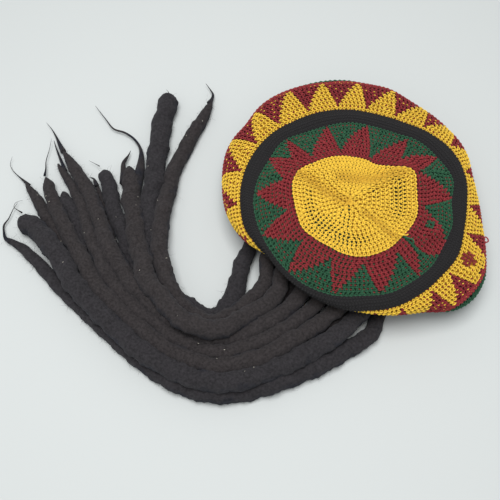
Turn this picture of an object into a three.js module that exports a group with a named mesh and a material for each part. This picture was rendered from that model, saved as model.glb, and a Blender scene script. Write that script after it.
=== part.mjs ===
// Crocheted tam with long felted locks, lying crown up with its locks swept round to one side.
// Lengths are millimetres. Turns are degrees, anticlockwise seen from above, with 0 along +X.
import * as THREE from 'three';

// Sizes of the crocheted crown, measured outwards from its centre
const goldRadius = 62;
const starDepth = 42;
const ringWidth = 14;
const overhang = 30;
const crownRise = 31;
const zigzagDepth = 32;
const plainRedDepth = 12;
const clothWall = 2.6;
const starPoints = 14;
const zigzagTeeth = 22;
const ridgeHeight = 2;

// Sizes of the head band and the locks that hang from it
const headRadius = 82;
const lockThickness = 16;
const lockReach = 380;
const rowGap = 0.5;
const underClear = 0.8;
const pieceGap = 0.3;
const seamGap = 0.6;
const slantGap = 1.4;
const lockGap = 0.4;

// How far the crown has slid away from the head band's axis, along Y
const crownSlide = -12;

const ringInner = goldRadius + starDepth;
const ringOuter = ringInner + ringWidth;
const rimRadius = ringOuter + overhang;
const bandOuter = headRadius + clothWall;
const bandHeight = 2 * (lockThickness + rowGap) + underClear + clothWall;
const crownTop = bandHeight + crownRise;

// Stations round the hat. The radii are shares of goldRadius, ringInner, ringOuter and rimRadius,
// ringHigh is a share of crownTop, and rimHigh and underHigh are shares of bandHeight.
const stations = [
  { turn: 0, gold: 0.99, inner: 0.95, outer: 0.973, rim: 0.89, ringHigh: 0.83, rimHigh: 0.68, underHigh: 0.27 },
  { turn: 15, gold: 1.04, inner: 1.03, outer: 1.031, rim: 0.902, ringHigh: 0.826, rimHigh: 0.67, underHigh: 0.25 },
  { turn: 30, gold: 1.12, inner: 1.01, outer: 1.06, rim: 0.99, ringHigh: 0.82, rimHigh: 0.65, underHigh: 0.22 },
  { turn: 45, gold: 0.89, inner: 1.0, outer: 1.034, rim: 1.05, ringHigh: 0.815, rimHigh: 0.62, underHigh: 0.21 },
  { turn: 60, gold: 0.75, inner: 0.94, outer: 0.99, rim: 1.108, ringHigh: 0.81, rimHigh: 0.6, underHigh: 0.2 },
  { turn: 75, gold: 0.77, inner: 0.93, outer: 0.982, rim: 1.168, ringHigh: 0.804, rimHigh: 0.59, underHigh: 0.2 },
  { turn: 90, gold: 0.8, inner: 0.95, outer: 1.0, rim: 1.215, ringHigh: 0.8, rimHigh: 0.58, underHigh: 0.2 },
  { turn: 105, gold: 0.85, inner: 0.94, outer: 1.009, rim: 1.208, ringHigh: 0.804, rimHigh: 0.59, underHigh: 0.2 },
  { turn: 120, gold: 0.91, inner: 0.95, outer: 1.01, rim: 1.19, ringHigh: 0.81, rimHigh: 0.6, underHigh: 0.2 },
  { turn: 135, gold: 0.97, inner: 1.01, outer: 1.028, rim: 1.121, ringHigh: 0.815, rimHigh: 0.61, underHigh: 0.19 },
  { turn: 150, gold: 1.09, inner: 0.99, outer: 1.03, rim: 1.06, ringHigh: 0.82, rimHigh: 0.65, underHigh: 0.23 },
  { turn: 165, gold: 1.09, inner: 1.01, outer: 1.022, rim: 0.973, ringHigh: 0.829, rimHigh: 0.74, underHigh: 0.39 },
  { turn: 180, gold: 1.04, inner: 1.02, outer: 1.01, rim: 0.905, ringHigh: 0.83, rimHigh: 0.86, underHigh: 0.6 },
  { turn: 195, gold: 1.03, inner: 1.01, outer: 1.016, rim: 0.845, ringHigh: 0.785, rimHigh: 1.0, underHigh: 0.81 },
  { turn: 210, gold: 1.05, inner: 0.99, outer: 0.985, rim: 0.79, ringHigh: 0.77, rimHigh: 1.12, underHigh: 0.98 },
  { turn: 225, gold: 1.01, inner: 1.0, outer: 0.985, rim: 0.782, ringHigh: 0.749, rimHigh: 1.14, underHigh: 1.01 },
  { turn: 240, gold: 0.99, inner: 1.01, outer: 0.985, rim: 0.775, ringHigh: 0.735, rimHigh: 1.13, underHigh: 1.0 },
  { turn: 255, gold: 1.02, inner: 1.0, outer: 0.975, rim: 0.768, ringHigh: 0.724, rimHigh: 1.14, underHigh: 1.02 },
  { turn: 270, gold: 1.03, inner: 0.97, outer: 0.965, rim: 0.765, ringHigh: 0.73, rimHigh: 1.13, underHigh: 1.0 },
  { turn: 285, gold: 1.01, inner: 0.99, outer: 0.981, rim: 0.81, ringHigh: 0.78, rimHigh: 1.06, underHigh: 0.9 },
  { turn: 300, gold: 0.99, inner: 0.97, outer: 0.97, rim: 0.87, ringHigh: 0.83, rimHigh: 0.95, underHigh: 0.74 },
  { turn: 315, gold: 0.96, inner: 0.95, outer: 0.958, rim: 1.0, ringHigh: 0.831, rimHigh: 0.81, underHigh: 0.48 },
  { turn: 330, gold: 0.98, inner: 0.9, outer: 0.97, rim: 1.02, ringHigh: 0.82, rimHigh: 0.7, underHigh: 0.26 },
  { turn: 345, gold: 1.0, inner: 0.96, outer: 0.951, rim: 0.92, ringHigh: 0.825, rimHigh: 0.68, underHigh: 0.24 },
];

// Creases and puckers that run outwards along one turn. from and to are levels, as in roundLevels
// below, wide is a share of goldRadius and high a share of clothWall, below 0 for a valley.
const folds = [
  { turn: 152, from: 0.1, to: 1.0, wide: 0.08, high: -0.8 },
  { turn: 322, from: 0.2, to: 1.0, wide: 0.07, high: -0.8 },
  { turn: 48, from: 0.45, to: 1.1, wide: 0.1, high: -1.0 },
  { turn: 335, from: 1.15, to: 1.95, wide: 0.14, high: 2.4 },
  { turn: 349, from: 1.1, to: 1.9, wide: 0.12, high: -1.3 },
  { turn: 318, from: 1.2, to: 1.9, wide: 0.14, high: -1.0 },
  { turn: 15, from: 3.6, to: 5.6, wide: 0.3, high: -1.4 },
  { turn: 345, from: 3.6, to: 5.6, wide: 0.3, high: 1.2 },
  { turn: 72, from: 3.4, to: 5.4, wide: 0.32, high: 1.0 },
  { turn: 135, from: 3.4, to: 5.4, wide: 0.3, high: -1.1 },
];

// Gates that the locks pass through side by side, each from its inner end to its outer end.
// x and y are shares of lockReach from the head band's axis.
const gates = [
  { name: 'bottom', innerX: -0.387, innerY: -0.333, outerX: -0.387, outerY: -0.532 },
  { name: 'bend', innerX: -0.492, innerY: -0.268, outerX: -0.775, outerY: -0.272 },
  { name: 'fan', innerX: -0.537, innerY: -0.092, outerX: -0.895, outerY: -0.158 },
];

// The locks, from the inner side of the sweep to the outer side. root and brim are the turns where
// a lock leaves the head band and passes under the rim, row is 0 on the lower and 1 on the upper
// layer, and bottom, bend and fan are its lanes in the gates. bow is how far it curves to its left
// between the last gate and its tip, as a share of lockThickness. tipX and tipY are shares of
// lockReach. thick and tipThick are shares of lockThickness, and taper is the share of the
// length over which the lock narrows to its point.
const locks = [
  { root: 194, brim: 205, row: 0, bottom: 0.03, bend: 0.1, fan: 0.12, bow: 0.26, tipX: -0.547, tipY: 0.425, thick: 0.98, tipThick: 1.22, taper: 0.03 },
  { root: 208, brim: 223, row: 1, bottom: 0.16, bend: 0.035, fan: 0.04, bow: 0.8, tipX: -0.41, tipY: 0.398, thick: 0.9, tipThick: 0.86, taper: 0.12 },
  { root: 214, brim: 227, row: 0, bottom: 0.24, bend: 0.29, fan: 0.29, bow: 0.2, tipX: -0.73, tipY: 0.15, thick: 0.95, tipThick: 0.95, taper: 0.04 },
  { root: 224, brim: 231, row: 1, bottom: 0.3, bend: 0.24, fan: 0.19, bow: 0.07, tipX: -0.655, tipY: 0.16, thick: 1.0, tipThick: 1.12, taper: 0.08 },
  { root: 231, brim: 236, row: 0, bottom: 0.39, bend: 0.37, fan: 0.39, bow: 0.05, tipX: -0.747, tipY: 0.108, thick: 0.85, tipThick: 0.6, taper: 0.2 },
  { root: 240, brim: 241, row: 1, bottom: 0.45, bend: 0.43, fan: 0.44, bow: -0.5, tipX: -0.86, tipY: 0.215, thick: 1.0, tipThick: 0.9, taper: 0.16 },
  { root: 248, brim: 248, row: 0, bottom: 0.55, bend: 0.58, fan: 0.57, bow: 0.0, tipX: -0.837, tipY: 0.087, thick: 0.92, tipThick: 0.9, taper: 0.05 },
  { root: 252, brim: 248, row: 1, bottom: 0.58, bend: 0.54, fan: 0.54, bow: -0.2, tipX: -0.865, tipY: 0.18, thick: 0.86, tipThick: 0.7, taper: 0.16 },
  { root: 265, brim: 260, row: 0, bottom: 0.75, bend: 0.75, fan: 0.73, bow: -0.1, tipX: -0.96, tipY: 0.105, thick: 0.95, tipThick: 0.8, taper: 0.14 },
  { root: 264, brim: 257, row: 1, bottom: 0.7, bend: 0.67, fan: 0.66, bow: 0.03, tipX: -0.902, tipY: 0.124, thick: 0.95, tipThick: 0.9, taper: 0.08 },
  { root: 281, brim: 282, row: 0, bottom: 0.97, bend: 0.99, fan: 0.98, bow: -0.15, tipX: -0.996, tipY: -0.074, thick: 0.95, tipThick: 0.72, taper: 0.14 },
  { root: 277, brim: 269, row: 1, bottom: 0.85, bend: 0.81, fan: 0.8, bow: -0.4, tipX: -0.96, tipY: -0.018, thick: 1.0, tipThick: 1.2, taper: 0.03 },
];

// How finely the pieces are cut into flat faces
const stepsPerPoint = 5;
const stepsPerTooth = 4;
const arcSteps = 140;
const bandSteps = 48;
const lockSteps = 20;
const lockSides = 7;
const settleRounds = 90;
const routeSteps = 120;
const bodyShare = 0.93;
const tipSections = [0.955, 0.975, 0.99, 1];
const smallestTip = 0.15;

const degrees = Math.PI / 180;
const add = (a, b, k = 1) => [a[0] + k * b[0], a[1] + k * b[1], a[2] + k * b[2]];
const between = (a, b, t) => a.map((value, i) => value + (b[i] - value) * t);
const length = (a) => Math.hypot(a[0], a[1], a[2]);
const unit = (a) => a.map((value) => value / (length(a) || 1));
const cross = (a, b) => [
  a[1] * b[2] - a[2] * b[1],
  a[2] * b[0] - a[0] * b[2],
  a[0] * b[1] - a[1] * b[0],
];

// A station's column at any turn, by a cubic through its four nearest stations
function around(column, turn) {
  const spacing = 360 / stations.length;
  const place = (((turn % 360) + 360) % 360) / spacing;
  const first = Math.floor(place);
  const t = place - first;
  const [a, b, c, d] = [-1, 0, 1, 2].map(
    (step) => stations[(first + step + stations.length) % stations.length][column],
  );
  const slopeB = (c - a) / 2;
  const slopeC = (d - b) / 2;
  return (
    (2 * t ** 3 - 3 * t ** 2 + 1) * b +
    (t ** 3 - 2 * t ** 2 + t) * slopeB +
    (3 * t ** 2 - 2 * t ** 3) * c +
    (t ** 3 - t ** 2) * slopeC
  );
}

// A smooth curve through points. The knots between them are the square roots of the distances,
// and each tangent is the mean of the slopes on both sides, nearer to that of the shorter side.
function rootKnots(points) {
  const knots = [0];
  for (let i = 1; i < points.length; i += 1) {
    knots.push(knots[i - 1] + Math.sqrt(length(add(points[i], points[i - 1], -1))));
  }
  return knots;
}

function curve(points, knots, place) {
  const last = points.length - 1;
  const k = Math.min(Math.floor(place), last - 1);
  const slope = (i) => add(points[i + 1], points[i], -1).map((value) => value / (knots[i + 1] - knots[i]));
  const tangent = (i) => {
    if (i === 0) return slope(0);
    if (i === last) return slope(last - 1);
    const before = knots[i] - knots[i - 1];
    const after = knots[i + 1] - knots[i];
    return between(slope(i), slope(i - 1), after / (before + after));
  };
  const span = knots[k + 1] - knots[k];
  const t = place - k;
  const from = tangent(k);
  const to = tangent(k + 1);
  return points[k].map(
    (value, axis) =>
      (2 * t ** 3 - 3 * t ** 2 + 1) * value +
      (t ** 3 - 2 * t ** 2 + t) * span * from[axis] +
      (3 * t ** 2 - 2 * t ** 3) * points[k + 1][axis] +
      (t ** 3 - t ** 2) * span * to[axis],
  );
}

// The levels from the crown's centre to the head band
const roundLevels = { centre: 0, gold: 1, inner: 2, outer: 3, shoulder: 4, rim: 5, under: 6, band: 7 };

// The point of each level at one turn
function levelPoints(turn) {
  const along = [Math.cos(turn * degrees), Math.sin(turn * degrees)];
  const at = (radius, slide, high) => [radius * along[0], radius * along[1] + slide, high];
  const ringHigh = crownTop * around('ringHigh', turn);
  const rimHigh = bandHeight * around('rimHigh', turn);
  const goldEdge = at(goldRadius * around('gold', turn), crownSlide, crownTop - clothWall * 0.6);
  const inner = at(ringInner * around('inner', turn), crownSlide, ringHigh * 0.3 + crownTop * 0.62);
  const outer = at(ringOuter * around('outer', turn), crownSlide, ringHigh);
  const rim = at(rimRadius * around('rim', turn), crownSlide, rimHigh);
  const band = at(bandOuter + seamGap, 0, bandHeight - clothWall);
  const drop = ringHigh - rimHigh;
  const swell = 0.22 * drop;
  const shoulder = add(between(outer, rim, 0.66), [swell * along[0], swell * along[1], 0]);
  shoulder[2] = ringHigh - 0.36 * drop;
  const under = between(rim, band, 0.16);
  under[2] = bandHeight * around('underHigh', turn);
  return [[0, crownSlide, crownTop], goldEdge, inner, outer, shoulder, rim, under, band];
}

// The cloth without its folds: a curve through the levels at this turn
const meridians = new Map();
function smoothCloth(turn, level) {
  if (!meridians.has(turn)) {
    const points = levelPoints(turn);
    meridians.set(turn, { points, knots: rootKnots(points) });
  }
  const { points, knots } = meridians.get(turn);
  return curve(points, knots, level);
}

// How far the folds and the black ring's ridge lift the cloth at a place
function lift(turn, level, point) {
  const reach = Math.hypot(point[0], point[1] - crownSlide);
  let high = 0;
  for (const fold of folds) {
    const middle = (level - fold.from) / (fold.to - fold.from);
    if (middle <= 0 || middle >= 1) continue;
    const aside = reach * Math.sin((turn - fold.turn) * degrees);
    if (Math.cos((turn - fold.turn) * degrees) <= 0) continue;
    const across = Math.exp(-((aside / (fold.wide * goldRadius)) ** 2));
    high += fold.high * clothWall * across * Math.sin(Math.PI * middle) ** 2;
  }
  const ring = level - roundLevels.inner;
  if (ring > 0 && ring < 1) high += ridgeHeight * Math.sin(Math.PI * ring) ** 2;
  return high;
}

// A cloth point and the direction that faces out of the cloth there
function clothFrame(turn, level) {
  const small = 0.01;
  const low = Math.max(level - small, 0);
  const high = Math.min(level + small, roundLevels.band);
  const point = smoothCloth(turn, level);
  const outward = add(smoothCloth(turn, high), smoothCloth(turn, low), -1);
  const sideways = add(smoothCloth(turn + small, level), smoothCloth(turn - small, level), -1);
  const facing = level < small ? [0, 0, 1] : unit(cross(outward, sideways));
  return { point: add(point, facing, lift(turn, level, point)), facing };
}

// The levels at equal steps with the cloth's length up to each, at one turn
function tapeMeasure(turn) {
  const levels = [];
  const lengths = [];
  let previous = null;
  let total = 0;
  for (let i = 0; i <= arcSteps; i += 1) {
    const level = (roundLevels.band * i) / arcSteps;
    const point = smoothCloth(turn, level);
    if (previous) total += length(add(point, previous, -1));
    previous = point;
    levels.push(level);
    lengths.push(total);
  }
  const look = (from, to, value) => {
    let i = 1;
    while (i < from.length - 1 && from[i] < value) i += 1;
    const t = (value - from[i - 1]) / (from[i] - from[i - 1]);
    return to[i - 1] + (to[i] - to[i - 1]) * t;
  };
  return {
    toLength: (level) => look(levels, lengths, level),
    toLevel: (distance) => look(lengths, levels, distance),
  };
}

// The distance along the cloth to each colour's edge, for one turn
const tapes = new Map();
function edges(turn) {
  if (!tapes.has(turn)) tapes.set(turn, tapeMeasure(turn));
  const tape = tapes.get(turn);
  const gold = tape.toLength(roundLevels.gold);
  const inner = tape.toLength(roundLevels.inner);
  const outer = tape.toLength(roundLevels.outer);
  return {
    tape,
    gold,
    inner,
    outer,
    star: gold + (inner - gold) * starShare(turn),
    zigzag: outer + zigzagDepth * toothShare(turn),
    red: outer + zigzagDepth + plainRedDepth,
    band: tape.toLength(roundLevels.band),
  };
}

// The star's edge leans: each point rises over most of its turn and falls back steeply
function starShare(turn) {
  const phase = (((turn / 360) * starPoints + 1) % 1 + 1) % 1;
  const peak = 3 / stepsPerPoint;
  const rise = phase < peak ? phase / peak : (1 - phase) / (1 - peak);
  return 0.08 + 0.84 * rise;
}

// The zigzag's edge is an even run of teeth
function toothShare(turn) {
  const phase = (((turn / 360) * zigzagTeeth) % 1 + 1) % 1;
  return 0.12 + 0.88 * (1 - Math.abs(2 * phase - 1));
}

// A closed solid from rows of cloth frames. Each row runs round the hat, the outer face lies on
// the frames and the inner face one clothWall behind them.
function clothRing(turns, rows, hub) {
  const columns = turns.length;
  const vertices = [];
  const faces = [];
  const frames = rows.map((row) => turns.map((turn) => row(turn)));
  for (const depth of [0, clothWall]) {
    for (const row of frames) {
      for (const { point, facing } of row) vertices.push(add(point, facing, -depth));
    }
  }
  const index = (side, row, column) => (side * rows.length + row) * columns + (column % columns);
  const quad = (a, b, c, d) => faces.push([a, b, c], [a, c, d]);
  for (let column = 0; column < columns; column += 1) {
    for (let row = 0; row < rows.length - 1; row += 1) {
      quad(index(0, row, column), index(0, row + 1, column), index(0, row + 1, column + 1), index(0, row, column + 1));
      quad(index(1, row, column), index(1, row, column + 1), index(1, row + 1, column + 1), index(1, row + 1, column));
    }
    const last = rows.length - 1;
    quad(index(0, last, column), index(1, last, column), index(1, last, column + 1), index(0, last, column + 1));
    if (!hub) quad(index(0, 0, column), index(0, 0, column + 1), index(1, 0, column + 1), index(1, 0, column));
  }
  if (hub) {
    const top = vertices.push(hub.point) - 1;
    const back = vertices.push(add(hub.point, hub.facing, -clothWall)) - 1;
    for (let column = 0; column < columns; column += 1) {
      faces.push([top, index(0, 0, column), index(0, 0, column + 1)]);
      faces.push([back, index(1, 0, column + 1), index(1, 0, column)]);
    }
  }
  return solid(vertices, faces);
}

function solid(vertices, faces) {
  const geometry = new THREE.BufferGeometry();
  geometry.setAttribute('position', new THREE.Float32BufferAttribute(vertices.flat(), 3));
  geometry.setIndex(faces.flat());
  geometry.computeVertexNormals();
  return geometry;
}

// Rows of cloth between two edges. Each edge is a function of the hat's edges at one turn, and a
// crowding over 1 moves the rows towards the first edge.
function clothBetween(from, to, count, crowding = 1) {
  const rows = [];
  for (let row = 0; row <= count; row += 1) {
    const share = (row / count) ** crowding;
    rows.push((turn) => {
      const edge = edges(turn);
      const start = from(edge);
      return clothFrame(turn, edge.tape.toLevel(start + (to(edge) - start) * share));
    });
  }
  return rows;
}

const turnsOf = (count) => Array.from({ length: count }, (_, i) => (360 * i) / count);
const half = pieceGap / 2;
const seam = seamGap / 2;
const slant = slantGap / 2;
const starTurns = turnsOf(starPoints * stepsPerPoint);
const toothTurns = turnsOf(zigzagTeeth * stepsPerTooth);

// The head band is a plain upright ring with a flat lower edge
function headBand() {
  const vertices = [];
  const faces = [];
  const corners = [[bandOuter, 0], [bandOuter, bandHeight], [headRadius, bandHeight], [headRadius, 0]];
  const bandTurns = turnsOf(bandSteps);
  const columns = bandTurns.length;
  for (const turn of bandTurns) {
    for (const [radius, high] of corners) {
      vertices.push([radius * Math.cos(turn * degrees), radius * Math.sin(turn * degrees), high]);
    }
  }
  for (let column = 0; column < columns; column += 1) {
    const next = (column + 1) % columns;
    for (let side = 0; side < 4; side += 1) {
      const other = (side + 1) % 4;
      const [a, b] = [column * 4 + side, column * 4 + other];
      const [c, d] = [next * 4 + other, next * 4 + side];
      faces.push([a, d, c], [a, c, b]);
    }
  }
  return solid(vertices, faces);
}

// Distances along a run of points
function runLengths(points) {
  const lengths = [0];
  for (let i = 1; i < points.length; i += 1) {
    lengths.push(lengths[i - 1] + length(add(points[i], points[i - 1], -1)));
  }
  return lengths;
}

// The same run with its points at equal distances
function evenRun(points, steps) {
  const lengths = runLengths(points);
  const total = lengths[lengths.length - 1];
  const even = [];
  for (let i = 0; i <= steps; i += 1) {
    const at = (total * i) / steps;
    let k = 1;
    while (k < points.length - 1 && lengths[k] < at) k += 1;
    even.push(between(points[k - 1], points[k], (at - lengths[k - 1]) / (lengths[k] - lengths[k - 1])));
  }
  return even;
}

// A lock's chosen route: out of the head band, under the rim, through the gates, to its tip
function chosenRoute(lock) {
  const low = lockThickness / 2 + rowGap;
  const high = low + lock.row * (lockThickness + rowGap);
  const polar = (radius, turn, z) => [radius * Math.cos(turn * degrees), radius * Math.sin(turn * degrees), z];
  const root = bandOuter + pieceGap;
  const points = [polar(root, lock.root, high), polar(root + lockThickness, lock.root, high)];
  points.push(polar(root + lockThickness * 2.6, lock.brim, high));
  for (const gate of gates) {
    const lane = lock[gate.name];
    const x = gate.innerX + (gate.outerX - gate.innerX) * lane;
    const y = gate.innerY + (gate.outerY - gate.innerY) * lane;
    points.push([x * lockReach, y * lockReach, low + lock.row * lockThickness * 0.8]);
  }
  const fan = points[points.length - 1];
  const tip = [lock.tipX * lockReach, lock.tipY * lockReach, low];
  const left = unit(cross([0, 0, 1], add(tip, fan, -1)));
  points.push(add(between(fan, tip, 0.5), left, lock.bow * lockThickness), tip);
  const knots = rootKnots(points);
  const fine = [];
  for (let i = 0; i <= routeSteps; i += 1) {
    fine.push(curve(points, knots, ((points.length - 1) * i) / routeSteps));
  }
  return evenRun(fine, lockSteps);
}

// Half a lock's thickness at a share of its length
function lockRadius(lock, share) {
  const body = lock.thick + (lock.tipThick - lock.thick) * Math.min(Math.max((share - 0.5) / 0.4, 0), 1);
  return (lockThickness / 2) * body;
}

// How much of that is left where the lock rounds off or narrows to its tip
function tipShare(lock, share) {
  const left = Math.min((1 - share) / lock.taper, 1);
  return Math.max(Math.sqrt(1 - (1 - left) ** 2), smallestTip);
}

// The nearest place on a run to a point, with the distance and the segment's share
function nearest(point, run) {
  let best = { distance: Infinity };
  for (let i = 1; i < run.length; i += 1) {
    const side = add(run[i], run[i - 1], -1);
    const offset = add(point, run[i - 1], -1);
    const along = side[0] * offset[0] + side[1] * offset[1] + side[2] * offset[2];
    const t = Math.min(Math.max(along / (length(side) ** 2), 0), 1);
    const away = add(offset, side, -t);
    const distance = length(away);
    if (distance < best.distance) best = { distance, away, at: i - 1 + t };
  }
  return best;
}

// In each round a pair of locks takes pushShare of its overlap off. A lock's shift from its route
// evens out by smoothShare and shrinks by returnShare, and the lock sinks by sinkStep. It stays
// sideClear of its radius off the head band.
const pushShare = 0.45;
const smoothShare = 0.25;
const returnShare = 0.03;
const sinkStep = 0.12;
const sideClear = 1.1;

// The locks settle: they push each other apart, sink to the surface and stay under the cloth where
// it covers them. Their roots keep their places.
function settle(routes) {
  const runs = routes.map((route) => route.map((point) => [...point]));
  const floor = (k, i) => lockRadius(locks[k], i / lockSteps);
  for (let round = 0; round < settleRounds; round += 1) {
    const pushes = runs.map((run) => run.map(() => [0, 0, 0]));
    runs.forEach((run, k) => {
      run.forEach((point, i) => {
        runs.forEach((other, m) => {
          if (m === k) return;
          const near = nearest(point, other);
          const wanted = lockRadius(locks[k], i / lockSteps) + lockRadius(locks[m], near.at / lockSteps) + pieceGap;
          if (near.distance >= wanted) return;
          const push = (wanted - near.distance) * pushShare;
          pushes[k][i] = add(pushes[k][i], unit(near.away), push);
        });
      });
    });
    runs.forEach((run, k) => {
      const shift = run.map((point, i) => add(point, routes[k][i], -1));
      for (let i = 1; i <= lockSteps; i += 1) {
        const even = i < lockSteps ? between(shift[i - 1], shift[i + 1], 0.5) : shift[i];
        const kept = between(shift[i], even, smoothShare);
        const back = [kept[0] * (1 - returnShare), kept[1] * (1 - returnShare), kept[2]];
        const moved = add(add(routes[k][i], back), pushes[k][i]);
        moved[2] = Math.max(moved[2] - sinkStep, floor(k, i));
        const covered = Math.hypot(moved[0], moved[1] - crownSlide) < rimRadius + lockThickness;
        if (covered) moved[2] = Math.min(moved[2], bandHeight - clothWall - underClear - floor(k, i));
        const reach = Math.hypot(moved[0], moved[1]);
        const clear = Math.max(1, (bandOuter + pieceGap + sideClear * floor(k, i)) / reach);
        run[i] = [moved[0] * clear, moved[1] * clear, moved[2]];
      }
    });
  }
  return runs;
}

// A lock's sections are even along its body and crowd together at its tip
const bodySteps = lockSteps - tipSections.length;
const evenSections = Array.from({ length: bodySteps + 1 }, (_, i) => (bodyShare * i) / bodySteps);
const sections = [...evenSections, ...tipSections];
const runs = settle(locks.map(chosenRoute)).map((run) => {
  const knots = rootKnots(run);
  return sections.map((share) => curve(run, knots, share * lockSteps));
});

// The share of its length at any place along a lock's sections
function shareAt(place) {
  const before = Math.min(Math.floor(place), lockSteps - 1);
  return sections[before] + (sections[before + 1] - sections[before]) * (place - before);
}

// Each lock is pressed thinner where its neighbours lie closer than its own thickness, at a
// section or half-way to the next one
const radii = runs.map((run, k) =>
  run.map((point, i) => {
    let radius = lockRadius(locks[k], sections[i]);
    const before = between(point, run[Math.max(i - 1, 0)], 0.5);
    const after = between(point, run[Math.min(i + 1, lockSteps)], 0.5);
    runs.forEach((other, m) => {
      if (m === k) return;
      for (const place of [point, before, after]) {
        const near = nearest(place, other);
        const theirs = lockRadius(locks[m], shareAt(near.at));
        const mine = lockRadius(locks[k], sections[i]);
        radius = Math.min(radius, ((near.distance - lockGap) * mine) / (mine + theirs));
      }
    });
    return radius;
  }),
);

// A closed tube through a lock's sections, with a flat root and a narrowed tip
function lockSolid(lock, centres, radius) {
  const vertices = [];
  const faces = [];
  sections.forEach((share, i) => {
    const point = centres[i];
    const along = add(centres[Math.min(i + 1, lockSteps)], centres[Math.max(i - 1, 0)], -1);
    const ahead = i === 0 ? unit([point[0], point[1], 0]) : unit(along);
    const reach = radius[i] * tipShare(lock, share);
    const side = unit(cross([0, 0, 1], ahead));
    const up = cross(ahead, side);
    for (let k = 0; k < lockSides; k += 1) {
      const angle = (2 * Math.PI * k) / lockSides - Math.PI / 2 + Math.PI / lockSides;
      const offset = add(side.map((value) => value * Math.cos(angle)), up, Math.sin(angle));
      vertices.push(add(point, offset, reach));
    }
  });
  for (let i = 0; i < lockSteps; i += 1) {
    for (let k = 0; k < lockSides; k += 1) {
      const next = (k + 1) % lockSides;
      const [a, b] = [i * lockSides + k, i * lockSides + next];
      const [c, d] = [(i + 1) * lockSides + next, (i + 1) * lockSides + k];
      faces.push([a, b, c], [a, c, d]);
    }
  }
  const root = vertices.push(centres[0]) - 1;
  const tip = vertices.push(centres[lockSteps]) - 1;
  for (let k = 0; k < lockSides; k += 1) {
    const next = (k + 1) % lockSides;
    faces.push([root, next, k]);
    faces.push([tip, lockSteps * lockSides + k, lockSteps * lockSides + next]);
  }
  return solid(vertices, faces);
}

const yarn = (name, colour) => new THREE.MeshStandardMaterial({ name, color: colour, roughness: 0.9, metalness: 0 });
const goldYarn = yarn('gold yarn', 0xd7a53c);
const redYarn = yarn('red yarn', 0x75322f);
const greenYarn = yarn('green yarn', 0x2f5740);
const blackYarn = yarn('black yarn', 0x302f2f);
const lockWool = yarn('felted wool', 0x34353a);

const tam = new THREE.Group();
function place(name, geometry, material) {
  const mesh = new THREE.Mesh(geometry, material);
  mesh.name = name;
  tam.add(mesh);
}

const goldRows = clothBetween(() => 0, (edge) => edge.gold - half, 2).slice(1);
place('gold_centre', clothRing(starTurns, goldRows, clothFrame(0, 0)), goldYarn);
place(
  'red_star',
  clothRing(starTurns, clothBetween((edge) => edge.gold + half, (edge) => edge.star - slant, 2)),
  redYarn,
);
place(
  'green_field',
  clothRing(starTurns, clothBetween((edge) => edge.star + slant, (edge) => edge.inner - seam, 2)),
  greenYarn,
);
place(
  'black_ring',
  clothRing(toothTurns, clothBetween((edge) => edge.inner + seam, (edge) => edge.outer - seam, 2)),
  blackYarn,
);
place(
  'gold_zigzag',
  clothRing(toothTurns, clothBetween((edge) => edge.outer + seam, (edge) => edge.zigzag - slant, 3)),
  goldYarn,
);
place(
  'red_zigzag',
  clothRing(toothTurns, clothBetween((edge) => edge.zigzag + slant, (edge) => edge.red - seam, 3, 1.5)),
  redYarn,
);
place(
  'green_under',
  clothRing(starTurns, clothBetween((edge) => edge.red + seam, (edge) => edge.band, 6, 1.3)),
  greenYarn,
);
place('head_band', headBand(), blackYarn);
runs.forEach((run, k) => {
  place(`lock_${String(k + 1).padStart(2, '0')}`, lockSolid(locks[k], run, radii[k]), lockWool);
});

// The origin goes to the middle of the whole tam's footprint, on the surface that it rests on
const box = new THREE.Box3().setFromObject(tam);
tam.position.set(-(box.min.x + box.max.x) / 2, -(box.min.y + box.max.y) / 2, -box.min.z);
const model = new THREE.Group();
model.add(tam);
model.updateMatrixWorld(true);

export default model;
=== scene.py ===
import math

import bpy
import numpy as np
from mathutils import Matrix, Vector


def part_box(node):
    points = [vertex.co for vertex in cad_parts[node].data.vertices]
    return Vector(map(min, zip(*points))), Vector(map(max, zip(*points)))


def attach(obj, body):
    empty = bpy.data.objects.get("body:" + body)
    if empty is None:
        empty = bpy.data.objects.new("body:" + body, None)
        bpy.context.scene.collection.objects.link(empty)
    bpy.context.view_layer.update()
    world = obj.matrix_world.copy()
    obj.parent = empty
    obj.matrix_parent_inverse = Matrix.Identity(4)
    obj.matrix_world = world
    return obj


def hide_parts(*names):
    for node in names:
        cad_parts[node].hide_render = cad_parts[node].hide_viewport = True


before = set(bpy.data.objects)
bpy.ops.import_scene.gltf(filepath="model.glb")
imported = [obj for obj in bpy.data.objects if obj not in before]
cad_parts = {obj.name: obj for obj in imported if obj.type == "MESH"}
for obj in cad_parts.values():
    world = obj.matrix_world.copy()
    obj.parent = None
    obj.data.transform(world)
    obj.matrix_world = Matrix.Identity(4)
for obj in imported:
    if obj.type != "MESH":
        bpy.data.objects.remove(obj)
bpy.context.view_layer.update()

mm = 0.001

# Camera, floor and light
# The camera looks steeply down at the tam from its front. The floor is a plain pale sheet, and
# the light is soft daylight from all round with one broad lamp overhead, so shadows stay short.
band_low, band_high = (np.array(corner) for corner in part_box("head_band"))
band_axis = (band_low + band_high) / 2 * np.array([1, 1, 0])
view_target = band_axis + np.array([-110, -40, 0]) * mm
view_height = math.radians(66)
view_distance = 750 * mm
frame_pixels = 500
focal_pixels = 682

camera_data = bpy.data.cameras.new("camera")
camera_data.lens = camera_data.sensor_width * focal_pixels / frame_pixels
camera = bpy.data.objects.new("camera", camera_data)
offset = np.array([0, -math.cos(view_height), math.sin(view_height)]) * view_distance
camera.location = view_target + offset
camera.rotation_euler = (math.pi / 2 - view_height, 0, 0)
bpy.context.scene.collection.objects.link(camera)
bpy.context.scene.camera = camera


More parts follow.
